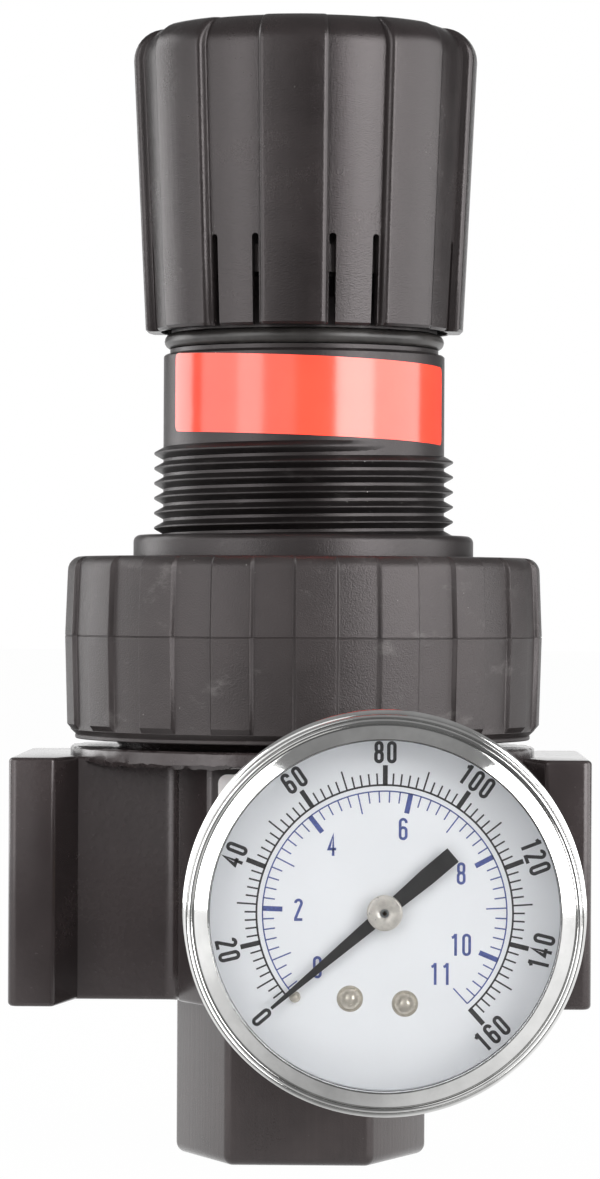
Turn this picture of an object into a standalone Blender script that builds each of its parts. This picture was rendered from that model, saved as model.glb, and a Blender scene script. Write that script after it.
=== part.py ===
"""Relieving air regulator with a round pressure gauge, as separate pieces.

Metres, +Z up. The origin is the centre of the bottom plug's flat face, on the
axis of the adjusting screw. The gauge faces -Y, air enters at -X and leaves at +X.
"""
import math

import bmesh
import bpy
from mathutils import Matrix, Vector

MM = 0.001
FULL_TURN = 2 * math.pi
WELD = 0.001 * MM

# Clearances
GAP = 0.3 * MM              # between pieces that seat on each other
STICKER_GAP = 0.15 * MM     # between the label band and the neck

# Facets round a turn
FINE = 32
COARSE = 20
SMALL = 16
TINY = 10
COIL_POINTS = 10

# Bottom plug
PLUG_HEIGHT = 22.4 * MM
PLUG_WIDTH = 35.8 * MM
PLUG_DEPTH = 31.0 * MM
PLUG_FACE_WIDTH = 20.2 * MM
PLUG_CORNER = 2.0 * MM
PLUG_FOOT_RADIUS = 2.6 * MM
PLUG_THREAD_RADIUS = 14.0 * MM
PLUG_THREAD_LENGTH = 7.2 * MM
PLUG_SEAL_DEPTH = 1.7 * MM
PLUG_SEAL_WIDTH = 2.0 * MM
SPRING_POCKET_RADIUS = 7.2 * MM
SPRING_POCKET_DEPTH = 4.6 * MM
GUIDE_BORE_DEPTH = 5.0 * MM

# Body
BODY_WIDTH = 80.6 * MM
FLANGE_HEIGHT = 34.4 * MM
FLANGE_DEPTH = 40.0 * MM
FLANGE_THICKNESS = 5.8 * MM
WEDGE_WIDTH = 3.5 * MM
PANEL_DEPTH = 27.4 * MM
BLOCK_DEPTH = 48.0 * MM
BLOCK_FACE_WIDTH = 25.0 * MM
BLOCK_WIDTH = 34.8 * MM
BLOCK_STEP = 1.0 * MM
FLANGE_EDGE = 1.1 * MM
BLOCK_EDGE = 0.8 * MM
BODY_END_ROUND = 0.5 * MM
RIM_RADIUS = 33.0 * MM
RIM_RISE = 1.2 * MM
RIM_HEIGHT = 2.3 * MM
NECK_RADIUS = 28.2 * MM
NECK_HEIGHT = 12.9 * MM
PORT_RADIUS = 9.4 * MM
PORT_DEPTH = 14.5 * MM
PASSAGE_RADIUS = 5.4 * MM
OUTLET_PASSAGE_RADIUS = 4.3 * MM
OUTLET_RISE_X = 18.2 * MM
LOWER_CHAMBER_RADIUS = 12.0 * MM
LOWER_CHAMBER_HEIGHT = 14.6 * MM
WEB_THICKNESS = 3.5 * MM
UPPER_CHAMBER_RADIUS = 21.5 * MM
DIAPHRAGM_RADIUS = 24.6 * MM
FREE_SPACE_UNDER_DIAPHRAGM = 4.0 * MM

# Gauge ports, front and rear
GAUGE_PORT_X = 11.7 * MM
GAUGE_PORT_RISE = 15.6 * MM
GAUGE_PORT_RADIUS = 6.2 * MM
GAUGE_PORT_DEPTH = 9.5 * MM
GAUGE_BOSS_RADIUS = 10.4 * MM
GAUGE_BOSS_PROUD = 0.6 * MM
SENSING_HOLE_RADIUS = 1.2 * MM
PORT_PLUG_LENGTH = 8.5 * MM
PORT_PLUG_SOCKET = 6.4 * MM
PORT_PLUG_SOCKET_DEPTH = 5.0 * MM

# Blank plate on the body's front
PLATE_WIDTH = 23.2 * MM
PLATE_HEIGHT = 5.2 * MM
PLATE_THICKNESS = 0.4 * MM
PLATE_CORNER = 1.2 * MM
PLATE_TOP_DROP = 2.2 * MM

# Valve
SEAT_RADIUS = 6.0 * MM
SEAT_BORE_RADIUS = 4.0 * MM
SEAT_FLANGE_RADIUS = 7.6 * MM
SEAT_FLANGE_THICKNESS = 1.2 * MM
SEAT_NOSE = 1.6 * MM
SEAL_THICKNESS = 1.4 * MM
SEAL_RADIUS = 6.2 * MM
SEAL_BORE_RADIUS = 3.0 * MM
POPPET_RADIUS = 7.0 * MM
POPPET_THICKNESS = 2.6 * MM
STEM_RADIUS = 1.9 * MM
STEM_TIP_RADIUS = 1.0 * MM
TAIL_RADIUS = 3.2 * MM
TAIL_SEAL_GROOVE = 1.2 * MM
TAIL_SEAL_WIDTH = 1.6 * MM
VALVE_SPRING_RADIUS = 5.4 * MM
VALVE_SPRING_WIRE = 0.5 * MM
VALVE_SPRING_TURNS = 5.0

# Diaphragm and what is fastened to it
DIAPHRAGM_BEAD = 2.4 * MM
DIAPHRAGM_WEB = 1.2 * MM
DIAPHRAGM_WAVE = 1.6 * MM
DIAPHRAGM_HOLE_RADIUS = 4.4 * MM
DIAPHRAGM_PLATE_RADIUS = 16.6 * MM
DIAPHRAGM_PLATE_THICKNESS = 2.0 * MM
DIAPHRAGM_PLATE_BOSS_RADIUS = 9.6 * MM
DIAPHRAGM_PLATE_BOSS_HEIGHT = 3.0 * MM
RELIEF_FLANGE_RADIUS = 9.0 * MM
RELIEF_FLANGE_THICKNESS = 2.0 * MM
RELIEF_NOSE_RADIUS = 3.6 * MM
RELIEF_NOSE_LENGTH = 5.6 * MM
RELIEF_STUD_RISE = 1.6 * MM
RELIEF_ORIFICE_RADIUS = 1.3 * MM

# Bonnet
BONNET_FLANGE_RADIUS = 24.2 * MM
BONNET_FLANGE_RISE = 2.7 * MM
BONNET_FLANGE_EDGE = 0.6 * MM
THREAD_LENGTH = 12.8 * MM
THREAD_RADIUS = 21.35 * MM
BONNET_NECK_RADIUS = 20.0 * MM
BONNET_NECK_LENGTH = 13.2 * MM
BONNET_GROOVE_RADIUS = 19.05 * MM
BONNET_GROOVE_LENGTH = 0.5 * MM
NECK_SEAL_WIRE = 1.1 * MM
NECK_SEAL_RADIUS = 18.8 * MM
BONNET_TOP_RADIUS = 18.9 * MM
BONNET_TOP_LENGTH = 4.0 * MM
BONNET_TOP_WALL = 3.5 * MM
BONNET_CHAMBER_RADIUS = 16.2 * MM
BONNET_THROAT_RADIUS = 13.4 * MM
BONNET_THROAT_HEIGHT = 5.2 * MM
BONNET_SKIRT_BORE = 20.6 * MM
KEY_WIDTH = 2.6 * MM
KEY_DEPTH = 1.8 * MM
KEY_LENGTH = 17.0 * MM

# Locking teeth between bonnet and knob
LOCK_TEETH = 20
LOCK_ROOT_RADIUS = 17.2 * MM
LOCK_TOOTH_DEPTH = 1.4 * MM
LOCK_TIP_GAP = 0.4 * MM
LOCK_TOOTH_SHARE = 0.42
LOCK_TOOTH_LENGTH = 2.8 * MM
LOCK_CLEAR = 0.5 * MM
LOCK_TRAVEL = 3.2 * MM

# Collar nut
COLLAR_RADIUS = 34.0 * MM
COLLAR_HEIGHT = 25.1 * MM
COLLAR_LIFT = 1.7 * MM
COLLAR_TOP_WALL = 4.0 * MM
COLLAR_PARTING_HEIGHT = 13.9 * MM
COLLAR_DRAFT = 0.35 * MM
COLLAR_TOP_ROUND = 2.0 * MM
COLLAR_FOOT_CHAMFER = 1.3 * MM
COLLAR_RIBS = 18
COLLAR_RIB_HEIGHT = 0.55 * MM
COLLAR_RIB_SHARE = 0.5
COLLAR_RIB_LIFT = 1.5 * MM
COLLAR_RIB_TURN = math.radians(4)

# Knob
KNOB_HEIGHT = 42.6 * MM
KNOB_TOP_RADIUS = 24.45 * MM
KNOB_FOOT_RADIUS = 22.6 * MM
KNOB_WIDEST_DROP = 4.4 * MM
KNOB_TOP_ROUND = 4.4 * MM
KNOB_RIBS = 8
KNOB_RIB_HEIGHT = 1.3 * MM
KNOB_RIB_ANGLE = math.radians(23.5)
KNOB_RIB_FLANK = math.radians(2.2)
KNOB_TURN = math.radians(-3.1)
KNOB_SLOT_WIDTH = 0.85 * MM
KNOB_SLOT_HEIGHT = 12.6 * MM
KNOB_LIFT = 0.6 * MM
KNOB_WALL = 1.6 * MM
KNOB_TOP_WALL = 3.0 * MM
KNOB_SKIRT_BORE = 20.4 * MM
KNOB_HUB_RADIUS = 9.0 * MM

# Adjusting screw and what holds it
SCREW_RADIUS = 5.0 * MM
SCREW_COLLAR_RADIUS = 9.0 * MM
SCREW_COLLAR_THICKNESS = 2.2 * MM
SCREW_LENGTH = 20.0 * MM
SCREW_HEAD_FLATS = 10.0 * MM
SCREW_HEAD_LENGTH = 26.0 * MM
WASHER_THICKNESS = 1.0 * MM
CLIP_RADIUS = 8.4 * MM
CLIP_THICKNESS = 1.0 * MM
CLIP_GROOVE_DEPTH = 1.0 * MM
CLIP_OPENING = math.radians(70)
REST_RADIUS = 15.4 * MM
REST_THICKNESS = 3.4 * MM
REST_BOSS_RADIUS = 8.4 * MM
REST_BOSS_HEIGHT = 3.6 * MM
RANGE_SPRING_RADIUS = 12.2 * MM
RANGE_SPRING_WIRE = 1.6 * MM
RANGE_SPRING_TURNS = 6.0

# Label band on the neck
LABEL_HEIGHT = 11.0 * MM
LABEL_THICKNESS = 0.2 * MM
LABEL_START = math.radians(-63)
LABEL_END = math.radians(76)
LABEL_TILT = math.radians(2)
LABEL_DROP = 6.5 * MM

# Gauge: stem and case
STEM_RADIUS_GAUGE = 5.9 * MM
STEM_THREAD_LENGTH = 9.0 * MM
HEX_FLATS = 14.3 * MM
HEX_LENGTH = 8.0 * MM
HEX_STANDOFF = 2.0 * MM
CASE_RADIUS = 25.0 * MM
CASE_WALL = 0.9 * MM
CASE_DEPTH = 21.0 * MM
CASE_EDGE_ROUND = 2.2 * MM
BEZEL_OVERHANG = 1.05 * MM
BEZEL_RADIUS = CASE_RADIUS + BEZEL_OVERHANG
BEZEL_DEPTH = 10.2 * MM
BEZEL_LIP_COVER = 2.1 * MM
BEZEL_LIP_RADIUS = CASE_RADIUS - BEZEL_LIP_COVER
BEZEL_ROLL = 1.7 * MM
LENS_THICKNESS = 1.5 * MM
DIAL_MARGIN = 1.4 * MM
DIAL_RADIUS = CASE_RADIUS - DIAL_MARGIN
DIAL_THICKNESS = 0.6 * MM
DIAL_DEPTH = 5.2 * MM
DIAL_HOLE_RADIUS = 2.0 * MM

# Gauge: block inside the case
TUBE_BLOCK_WIDTH = 11.0 * MM
TUBE_BLOCK_LENGTH = 24.3 * MM
TUBE_BLOCK_THICKNESS = 5.2 * MM
TUBE_BLOCK_RISE = 5.0 * MM
DIAL_POST_RADIUS = 2.2 * MM
DIAL_SCREWS = ((-4.5 * MM, -11.4 * MM), (2.7 * MM, -12.0 * MM))
DIAL_SCREW_RADIUS = 1.45 * MM
DIAL_SCREW_HEAD = 0.9 * MM
DIAL_SCREW_SHANK_RADIUS = 0.8 * MM
DIAL_SCREW_LENGTH = 3.4 * MM
STOP_PIN = (-11.7 * MM, -11.2 * MM)
STOP_PIN_RADIUS = 0.75 * MM
STOP_PIN_HEIGHT = 0.9 * MM

# Gauge: pointer
POINTER_REST = math.radians(130.5)
POINTER_LENGTH = 19.4 * MM
POINTER_TAIL = 11.6 * MM
POINTER_TAIL_WIDTH = 2.3 * MM
POINTER_ROOT_WIDTH = 1.7 * MM
POINTER_TIP_WIDTH = 0.4 * MM
POINTER_THICKNESS = 0.35 * MM
POINTER_LIFT = 1.5 * MM
HUB_RADIUS = 2.35 * MM
HUB_HEIGHT = 1.0 * MM
ARBOR_RADIUS = 0.6 * MM
ARBOR_BORE = 0.75 * MM

# Gauge: movement
TOOTH_MODULE = 0.4 * MM
PINION_TEETH = 8
SECTOR_RATIO = 8
SECTOR_TOOTH_COUNT = 10
SECTOR_THICKNESS = 0.9 * MM
SECTOR_DIRECTION = math.radians(20)
SECTOR_TAIL = 5.6 * MM
SECTOR_TAIL_ANGLE = math.radians(-14)
PINION_WIDTH = 2.2 * MM
PLATE_SPACE = 4.4 * MM
SECTOR_HUB_RADIUS = 2.0 * MM
SECTOR_SHAFT_RADIUS = 0.9 * MM
SECTOR_SHAFT_CLEARANCE = 0.15 * MM
LINK_PIN_RADIUS = 0.4 * MM
MOVEMENT_PLATE_THICKNESS = 0.9 * MM
MOVEMENT_PLATE_WIDTH = 12.4 * MM
MOVEMENT_PLATE_ENDS = (-7.0 * MM, 3.2 * MM)
POST_OFFSET = 4.4 * MM
POST_RADIUS = 1.1 * MM
LOWER_POST_SHIFT = 0.6 * MM
LINK_WIDTH = 1.7 * MM
LINK_THICKNESS = 0.5 * MM
TUBE_CENTRE_RADIUS = 17.6 * MM
TUBE_WIDTH = 4.4 * MM
TUBE_HEIGHT = 2.2 * MM
TUBE_START = math.radians(-110.5)
TUBE_SWEEP = math.radians(-269.5)
TUBE_TIP_LENGTH = 2.6 * MM
HAIRSPRING_TURNS = 3.0
HAIRSPRING_INNER = 1.5 * MM
HAIRSPRING_STEP = 0.62 * MM
HAIRSPRING_STRIP = 0.22 * MM
HAIRSPRING_WIDTH = 0.6 * MM

# Heights worked out from the sizes above
BODY_BOTTOM = PLUG_HEIGHT
BODY_TOP = BODY_BOTTOM + FLANGE_HEIGHT
RIM_TOP = BODY_TOP + RIM_RISE
NECK_TOP = BODY_TOP + NECK_HEIGHT
PORT_Z = BODY_BOTTOM + FLANGE_HEIGHT / 2
GAUGE_Z = BODY_BOTTOM + GAUGE_PORT_RISE
PLUG_THREAD_TOP = BODY_BOTTOM + PLUG_THREAD_LENGTH
PLUG_BORE_RADIUS = PLUG_THREAD_RADIUS + GAP
CHAMBER_BOTTOM = PLUG_THREAD_TOP + GAP
WEB_BOTTOM = CHAMBER_BOTTOM + LOWER_CHAMBER_HEIGHT
WEB_TOP = WEB_BOTTOM + WEB_THICKNESS
SEAT_BOTTOM = WEB_BOTTOM - SEAT_NOSE
SEAL_TOP = SEAT_BOTTOM - GAP
POPPET_TOP = SEAL_TOP - SEAL_THICKNESS - GAP
POPPET_BOTTOM = POPPET_TOP - POPPET_THICKNESS
SPRING_POCKET_FLOOR = PLUG_THREAD_TOP - SPRING_POCKET_DEPTH
GUIDE_BORE_RADIUS = TAIL_RADIUS + GAP
GUIDE_BORE_FLOOR = SPRING_POCKET_FLOOR - GUIDE_BORE_DEPTH
COLLAR_BOTTOM = RIM_TOP + COLLAR_LIFT
COLLAR_TOP = COLLAR_BOTTOM + COLLAR_HEIGHT
COLLAR_LEDGE = COLLAR_TOP - COLLAR_TOP_WALL
COLLAR_BORE_RADIUS = NECK_RADIUS + GAP
DIAPHRAGM_BOTTOM = NECK_TOP + GAP
DIAPHRAGM_TOP = DIAPHRAGM_BOTTOM + DIAPHRAGM_BEAD
DIAPHRAGM_WEB_BOTTOM = DIAPHRAGM_BOTTOM + (DIAPHRAGM_BEAD - DIAPHRAGM_WEB) / 2
DIAPHRAGM_WEB_TOP = DIAPHRAGM_WEB_BOTTOM + DIAPHRAGM_WEB
BONNET_BOTTOM = DIAPHRAGM_TOP + GAP
BONNET_LEDGE = COLLAR_LEDGE - GAP
FLANGE_TOP = COLLAR_TOP + BONNET_FLANGE_RISE
THREAD_TOP = FLANGE_TOP + THREAD_LENGTH
BONNET_NECK_TOP = THREAD_TOP + BONNET_NECK_LENGTH
NECK_SEAL_Z = BONNET_NECK_TOP + BONNET_GROOVE_LENGTH + GAP + NECK_SEAL_WIRE
SEAL_GROOVE_TOP = NECK_SEAL_Z + NECK_SEAL_WIRE + GAP
BONNET_TOP = SEAL_GROOVE_TOP + BONNET_TOP_LENGTH
BONNET_CEILING = BONNET_TOP - BONNET_TOP_WALL
LOCK_TOP = BONNET_TOP + LOCK_TOOTH_LENGTH
KNOB_BOTTOM = NECK_SEAL_Z + NECK_SEAL_WIRE + KNOB_LIFT
KNOB_TOP = KNOB_BOTTOM + KNOB_HEIGHT
RELIEF_FLANGE_TOP = DIAPHRAGM_WEB_BOTTOM - GAP
RELIEF_FLANGE_BOTTOM = RELIEF_FLANGE_TOP - RELIEF_FLANGE_THICKNESS
RELIEF_BOTTOM = RELIEF_FLANGE_BOTTOM - RELIEF_NOSE_LENGTH
DIAPHRAGM_PLATE_BOTTOM = DIAPHRAGM_WEB_TOP + GAP
DIAPHRAGM_PLATE_TOP = DIAPHRAGM_PLATE_BOTTOM + DIAPHRAGM_PLATE_THICKNESS
RELIEF_STUD_TOP = DIAPHRAGM_PLATE_TOP + DIAPHRAGM_PLATE_BOSS_HEIGHT + RELIEF_STUD_RISE
WASHER_TOP = BONNET_CEILING - GAP
SCREW_COLLAR_TOP = WASHER_TOP - WASHER_THICKNESS - GAP
SCREW_COLLAR_BOTTOM = SCREW_COLLAR_TOP - SCREW_COLLAR_THICKNESS
SCREW_BOTTOM = SCREW_COLLAR_BOTTOM - SCREW_LENGTH
SCREW_HEAD_RADIUS = SCREW_HEAD_FLATS / 2 / math.cos(math.pi / 6)
SCREW_HOLE_RADIUS = SCREW_HEAD_RADIUS + GAP
CLIP_BOTTOM = BONNET_TOP + GAP
CLIP_TOP = CLIP_BOTTOM + CLIP_THICKNESS
SCREW_HEAD_BOTTOM = CLIP_TOP + GAP
SCREW_HEAD_TOP = SCREW_HEAD_BOTTOM + SCREW_HEAD_LENGTH
REST_TOP = SCREW_COLLAR_BOTTOM - GAP
REST_SHOULDER = REST_TOP - REST_BOSS_HEIGHT
REST_BOTTOM = REST_SHOULDER - REST_THICKNESS
CHAMBER_THROAT = BONNET_CEILING - BONNET_THROAT_HEIGHT

# Depths in the gauge, measured along its axis from the boss that it screws into
HEX_TOP = HEX_STANDOFF + HEX_LENGTH
CASE_BACK = HEX_TOP + GAP
CASE_FLOOR = CASE_BACK + CASE_WALL
CASE_FRONT = CASE_BACK + CASE_DEPTH
LENS_BACK = CASE_FRONT + GAP
LENS_FRONT = LENS_BACK + LENS_THICKNESS
BEZEL_LIP_BACK = LENS_FRONT + GAP
BEZEL_FRONT = BEZEL_LIP_BACK + BEZEL_ROLL
BEZEL_BACK = BEZEL_FRONT - BEZEL_DEPTH
DIAL_FRONT = CASE_FRONT - DIAL_DEPTH
DIAL_BACK = DIAL_FRONT - DIAL_THICKNESS
POST_TOP = DIAL_BACK - GAP
POINTER_BACK = DIAL_FRONT + POINTER_LIFT
TUBE_BLOCK_BACK = CASE_FLOOR + GAP
TUBE_BLOCK_FRONT = TUBE_BLOCK_BACK + TUBE_BLOCK_THICKNESS
REAR_PLATE_BACK = TUBE_BLOCK_FRONT + GAP
REAR_PLATE_FRONT = REAR_PLATE_BACK + MOVEMENT_PLATE_THICKNESS
FRONT_PLATE_BACK = REAR_PLATE_FRONT + PLATE_SPACE
FRONT_PLATE_FRONT = FRONT_PLATE_BACK + MOVEMENT_PLATE_THICKNESS
SECTOR_BACK = FRONT_PLATE_BACK - 1.2 * MM - SECTOR_THICKNESS
PINION_RADIUS = TOOTH_MODULE * PINION_TEETH / 2
SECTOR_RADIUS = PINION_RADIUS * SECTOR_RATIO
SECTOR_DISTANCE = PINION_RADIUS + SECTOR_RADIUS

# Colour, roughness and metallic value of each finish
FINISHES = {
    "black_plastic": ((0.028, 0.025, 0.024), 0.45, 0.0),
    "black_paint": ((0.030, 0.026, 0.025), 0.42, 0.0),
    "black_rubber": ((0.012, 0.012, 0.012), 0.55, 0.0),
    "orange_label": ((0.90, 0.13, 0.075), 0.35, 0.0),
    "grey_label": ((0.58, 0.57, 0.57), 0.45, 0.0),
    "chrome": ((0.82, 0.82, 0.82), 0.08, 1.0),
    "clear_lens": ((0.95, 0.96, 0.97), 0.03, 0.0),
    "white_dial": ((0.72, 0.75, 0.80), 0.5, 0.0),
    "black_pointer": ((0.02, 0.02, 0.02), 0.4, 0.0),
    "brass": ((0.62, 0.46, 0.20), 0.3, 1.0),
    "steel": ((0.50, 0.50, 0.50), 0.35, 1.0),
    "nickel": ((0.66, 0.63, 0.57), 0.2, 1.0),
    "white_plastic": ((0.70, 0.70, 0.66), 0.5, 0.0),
}


# Helpers

def finish(name):
    """The material of a finish, made once."""
    made = bpy.data.materials.get(name)
    if made is None:
        colour, roughness, metallic = FINISHES[name]
        made = bpy.data.materials.new(name)
        made.use_nodes = True
        shader = made.node_tree.nodes["Principled BSDF"]
        shader.inputs["Base Color"].default_value = (*colour, 1)
        shader.inputs["Roughness"].default_value = roughness
        shader.inputs["Metallic"].default_value = metallic
    return made


def holder(name, place, turn=(0, 0, 0), parent=None):
    """An empty that pieces are parented to."""
    empty = bpy.data.objects.new(name, None)
    empty.location = place
    empty.rotation_euler = turn
    empty.parent = parent
    empty.empty_display_size = 5 * MM
    bpy.context.collection.objects.link(empty)
    return empty


def piece(name, bm, finish_name, parent=None, place=(0, 0, 0)):
    """Turn a bmesh into a named object."""
    mesh = bpy.data.meshes.new(name)
    bm.to_mesh(mesh)
    bm.free()
    mesh.shade_smooth()
    mesh.set_sharp_from_angle(angle=math.radians(35))
    mesh.materials.append(finish(finish_name))
    made = bpy.data.objects.new(name, mesh)
    made.location = place
    made.parent = parent
    bpy.context.collection.objects.link(made)
    return made


def guide(name, bm, parent=None):
    """A hidden shape that a Boolean adds or cuts."""
    made = piece(name, bm, "steel", parent)
    made.hide_render = True
    made.display_type = "WIRE"
    return made


def combine(target, shape, operation):
    """Cut or join a hidden shape with an exact Boolean."""
    modifier = target.modifiers.new(shape.name, "BOOLEAN")
    modifier.object = shape
    modifier.operation = operation
    modifier.solver = "EXACT"


def turned(profile, steps=FINE, ring=False):
    """Spin (radius, height) points round Z. A ring's profile closes on itself."""
    bm = bmesh.new()
    points = [bm.verts.new((radius, 0, height)) for radius, height in profile]
    edges = [bm.edges.new(pair) for pair in zip(points, points[1:])]
    if ring:
        edges.append(bm.edges.new((points[-1], points[0])))
    bmesh.ops.spin(bm, geom=points + edges, cent=(0, 0, 0), axis=(0, 0, 1),
                   angle=FULL_TURN, steps=steps, use_merge=True)
    bmesh.ops.remove_doubles(bm, verts=bm.verts, dist=WELD)
    bmesh.ops.recalc_face_normals(bm, faces=bm.faces)
    return bm


def lofted(rings):
    """Extrude a face through rings that hold the same number of points."""
    bm = bmesh.new()
    face = bm.faces.new([bm.verts.new(point) for point in rings[0]])
    for level, ring in enumerate(rings[1:]):
        made = bmesh.ops.extrude_face_region(bm, geom=[face])
        if level > 0:
            bmesh.ops.delete(bm, geom=[face], context="FACES_ONLY")
        face = next(item for item in made["geom"] if isinstance(item, bmesh.types.BMFace))
        for corner, point in zip(face.verts, ring):
            corner.co = point
    bmesh.ops.recalc_face_normals(bm, faces=bm.faces)
    return bm


def prism(outline, low, high):
    """A straight extrusion of an outline of (x, y) points."""
    return lofted([at_height(outline, low), at_height(outline, high)])


def at_height(outline, height):
    return [(x, y, height) for x, y in outline]


def polar(angle, radius):
    return radius * math.cos(angle), radius * math.sin(angle)


def circle(radius, count, centre=(0, 0), turn=0.0):
    """Points of a circle or a regular polygon."""
    angles = [turn + FULL_TURN * step / count for step in range(count)]
    return [(centre[0] + radius * math.cos(angle), centre[1] + radius * math.sin(angle))
            for angle in angles]


def arc(centre, radius, start, end, steps):
    """Points of an arc in a profile, its ends included."""
    angles = [start + (end - start) * step / steps for step in range(steps + 1)]
    return [(centre[0] + radius * math.cos(angle), centre[1] + radius * math.sin(angle))
            for angle in angles]


def rounded(corners, steps=2):
    """An outline whose (x, y, radius) corners are arcs."""
    outline = []
    for index, (x, y, radius) in enumerate(corners):
        corner = Vector((x, y))
        before = Vector(corners[index - 1][:2]) - corner
        after = Vector(corners[(index + 1) % len(corners)][:2]) - corner
        if radius == 0:
            outline.append(tuple(corner))
            continue
        before.normalize()
        after.normalize()
        half = before.angle(after) / 2
        reach = radius / math.tan(half)
        centre = corner + (before + after).normalized() * radius / math.sin(half)
        start = corner + before * reach - centre
        end = corner + after * reach - centre
        sweep = start.angle_signed(end)
        for step in range(steps + 1):
            spot = start.copy()
            spot.rotate(Matrix.Rotation(-sweep * step / steps, 2))
            outline.append(tuple(centre + spot))
    return outline


def inset(outline, distance):
    """The outline moved inwards by a distance; it runs anticlockwise."""
    moved = []
    for index, point in enumerate(outline):
        here = Vector(point)
        before = (here - Vector(outline[index - 1])).normalized()
        after = (Vector(outline[(index + 1) % len(outline)]) - here).normalized()
        inward_before = Vector((-before.y, before.x))
        inward_after = Vector((-after.y, after.x))
        middle = inward_before + inward_after
        moved.append(tuple(here + middle * distance * 2 / middle.length_squared))
    return moved


def bevelled_prism(outline, low, high, foot, head):
    """A prism with a bevel round its lower and upper ends."""
    rings = [at_height(inset(outline, foot), low), at_height(outline, low + foot),
             at_height(outline, high - head), at_height(inset(outline, head), high)]
    return lofted(rings)


def rounded_foot_prism(outline, low, high, foot):
    """A prism whose lower edge is rounded by three facets."""
    angles = [math.pi / 2 * step / 3 for step in range(4)]
    rings = [at_height(inset(outline, foot * (1 - math.sin(angle))), low + foot * (1 - math.cos(angle)))
             for angle in angles]
    return lofted([*rings, at_height(outline, high)])


def joined(*shapes):
    """Separate closed shapes in one bmesh."""
    whole = bmesh.new()
    for shape in shapes:
        mesh = bpy.data.meshes.new("joined")
        shape.to_mesh(mesh)
        shape.free()
        whole.from_mesh(mesh)
        bpy.data.meshes.remove(mesh)
    return whole


def placed(bm, matrix):
    """The bmesh after a move or a turn."""
    bmesh.ops.transform(bm, matrix=matrix, verts=bm.verts)
    return bm


def moved(bm, x, y, z):
    return placed(bm, Matrix.Translation((x, y, z)))


def along_x(bm):
    """Lay a shape that stands on Z along +X."""
    return placed(bm, Matrix.Rotation(math.pi / 2, 4, "Y"))


def along_y(bm):
    """Lay a shape that stands on Z along +Y."""
    return placed(bm, Matrix.Rotation(-math.pi / 2, 4, "X"))


def rod(radius, low, high, steps=COARSE):
    """A plain round bar on Z."""
    return prism(circle(radius, steps), low, high)


def torus(radius, wire, height, steps=FINE, sides=8):
    """A round ring of round section."""
    section = [(radius + x, height + y) for x, y in circle(wire, sides)]
    return turned(section, steps, ring=True)


def coil(name, finish_name, radius, wire, low, high, turns, parent=None):
    """A compression spring with one closed turn at each end."""
    closed_rise = 2.1 * wire
    free_rise = (high - low - 2 * wire - 2 * closed_rise) / (turns - 2)
    spline_points = []
    count = round(turns * COIL_POINTS)
    for step in range(count + 1):
        turn = turns * step / count
        rise = closed_rise * min(turn, 1) + closed_rise * max(0, turn - turns + 1)
        rise += free_rise * min(max(turn - 1, 0), turns - 2)
        x, y = polar(FULL_TURN * turn, radius)
        spline_points.append((x, y, low + wire + rise, 1))
    curve = bpy.data.curves.new(name, "CURVE")
    curve.dimensions = "3D"
    curve.bevel_depth = wire
    curve.bevel_resolution = 1
    curve.use_fill_caps = True
    curve.materials.append(finish(finish_name))
    spline = curve.splines.new("POLY")
    spline.points.add(count)
    for point, place in zip(spline.points, spline_points):
        point.co = place
    made = bpy.data.objects.new(name, curve)
    made.parent = parent
    bpy.context.collection.objects.link(made)
    return made


# Body and what is screwed into it

def body_outline():
    """Plan of the body: end flanges, wedge walls, panels and the front and rear blocks."""
    flange_x = BODY_WIDTH / 2
    wedge_x = flange_x - FLANGE_THICKNESS
    panel_x = wedge_x - WEDGE_WIDTH
    quarter = [
        (flange_x, FLANGE_DEPTH / 2, FLANGE_EDGE),
        (wedge_x, FLANGE_DEPTH / 2, BLOCK_EDGE),
        (panel_x, PANEL_DEPTH / 2, 0),
        (BLOCK_WIDTH / 2, PANEL_DEPTH / 2, 0),
        (BLOCK_WIDTH / 2, PANEL_DEPTH / 2 + BLOCK_STEP, BLOCK_EDGE),
        (BLOCK_FACE_WIDTH / 2, BLOCK_DEPTH / 2, BLOCK_EDGE),
    ]
    rear = quarter + [(-x, y, radius) for x, y, radius in reversed(quarter)]
    front = [(-x, -y, radius) for x, y, radius in rear]
    return rounded(rear + front)


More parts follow.
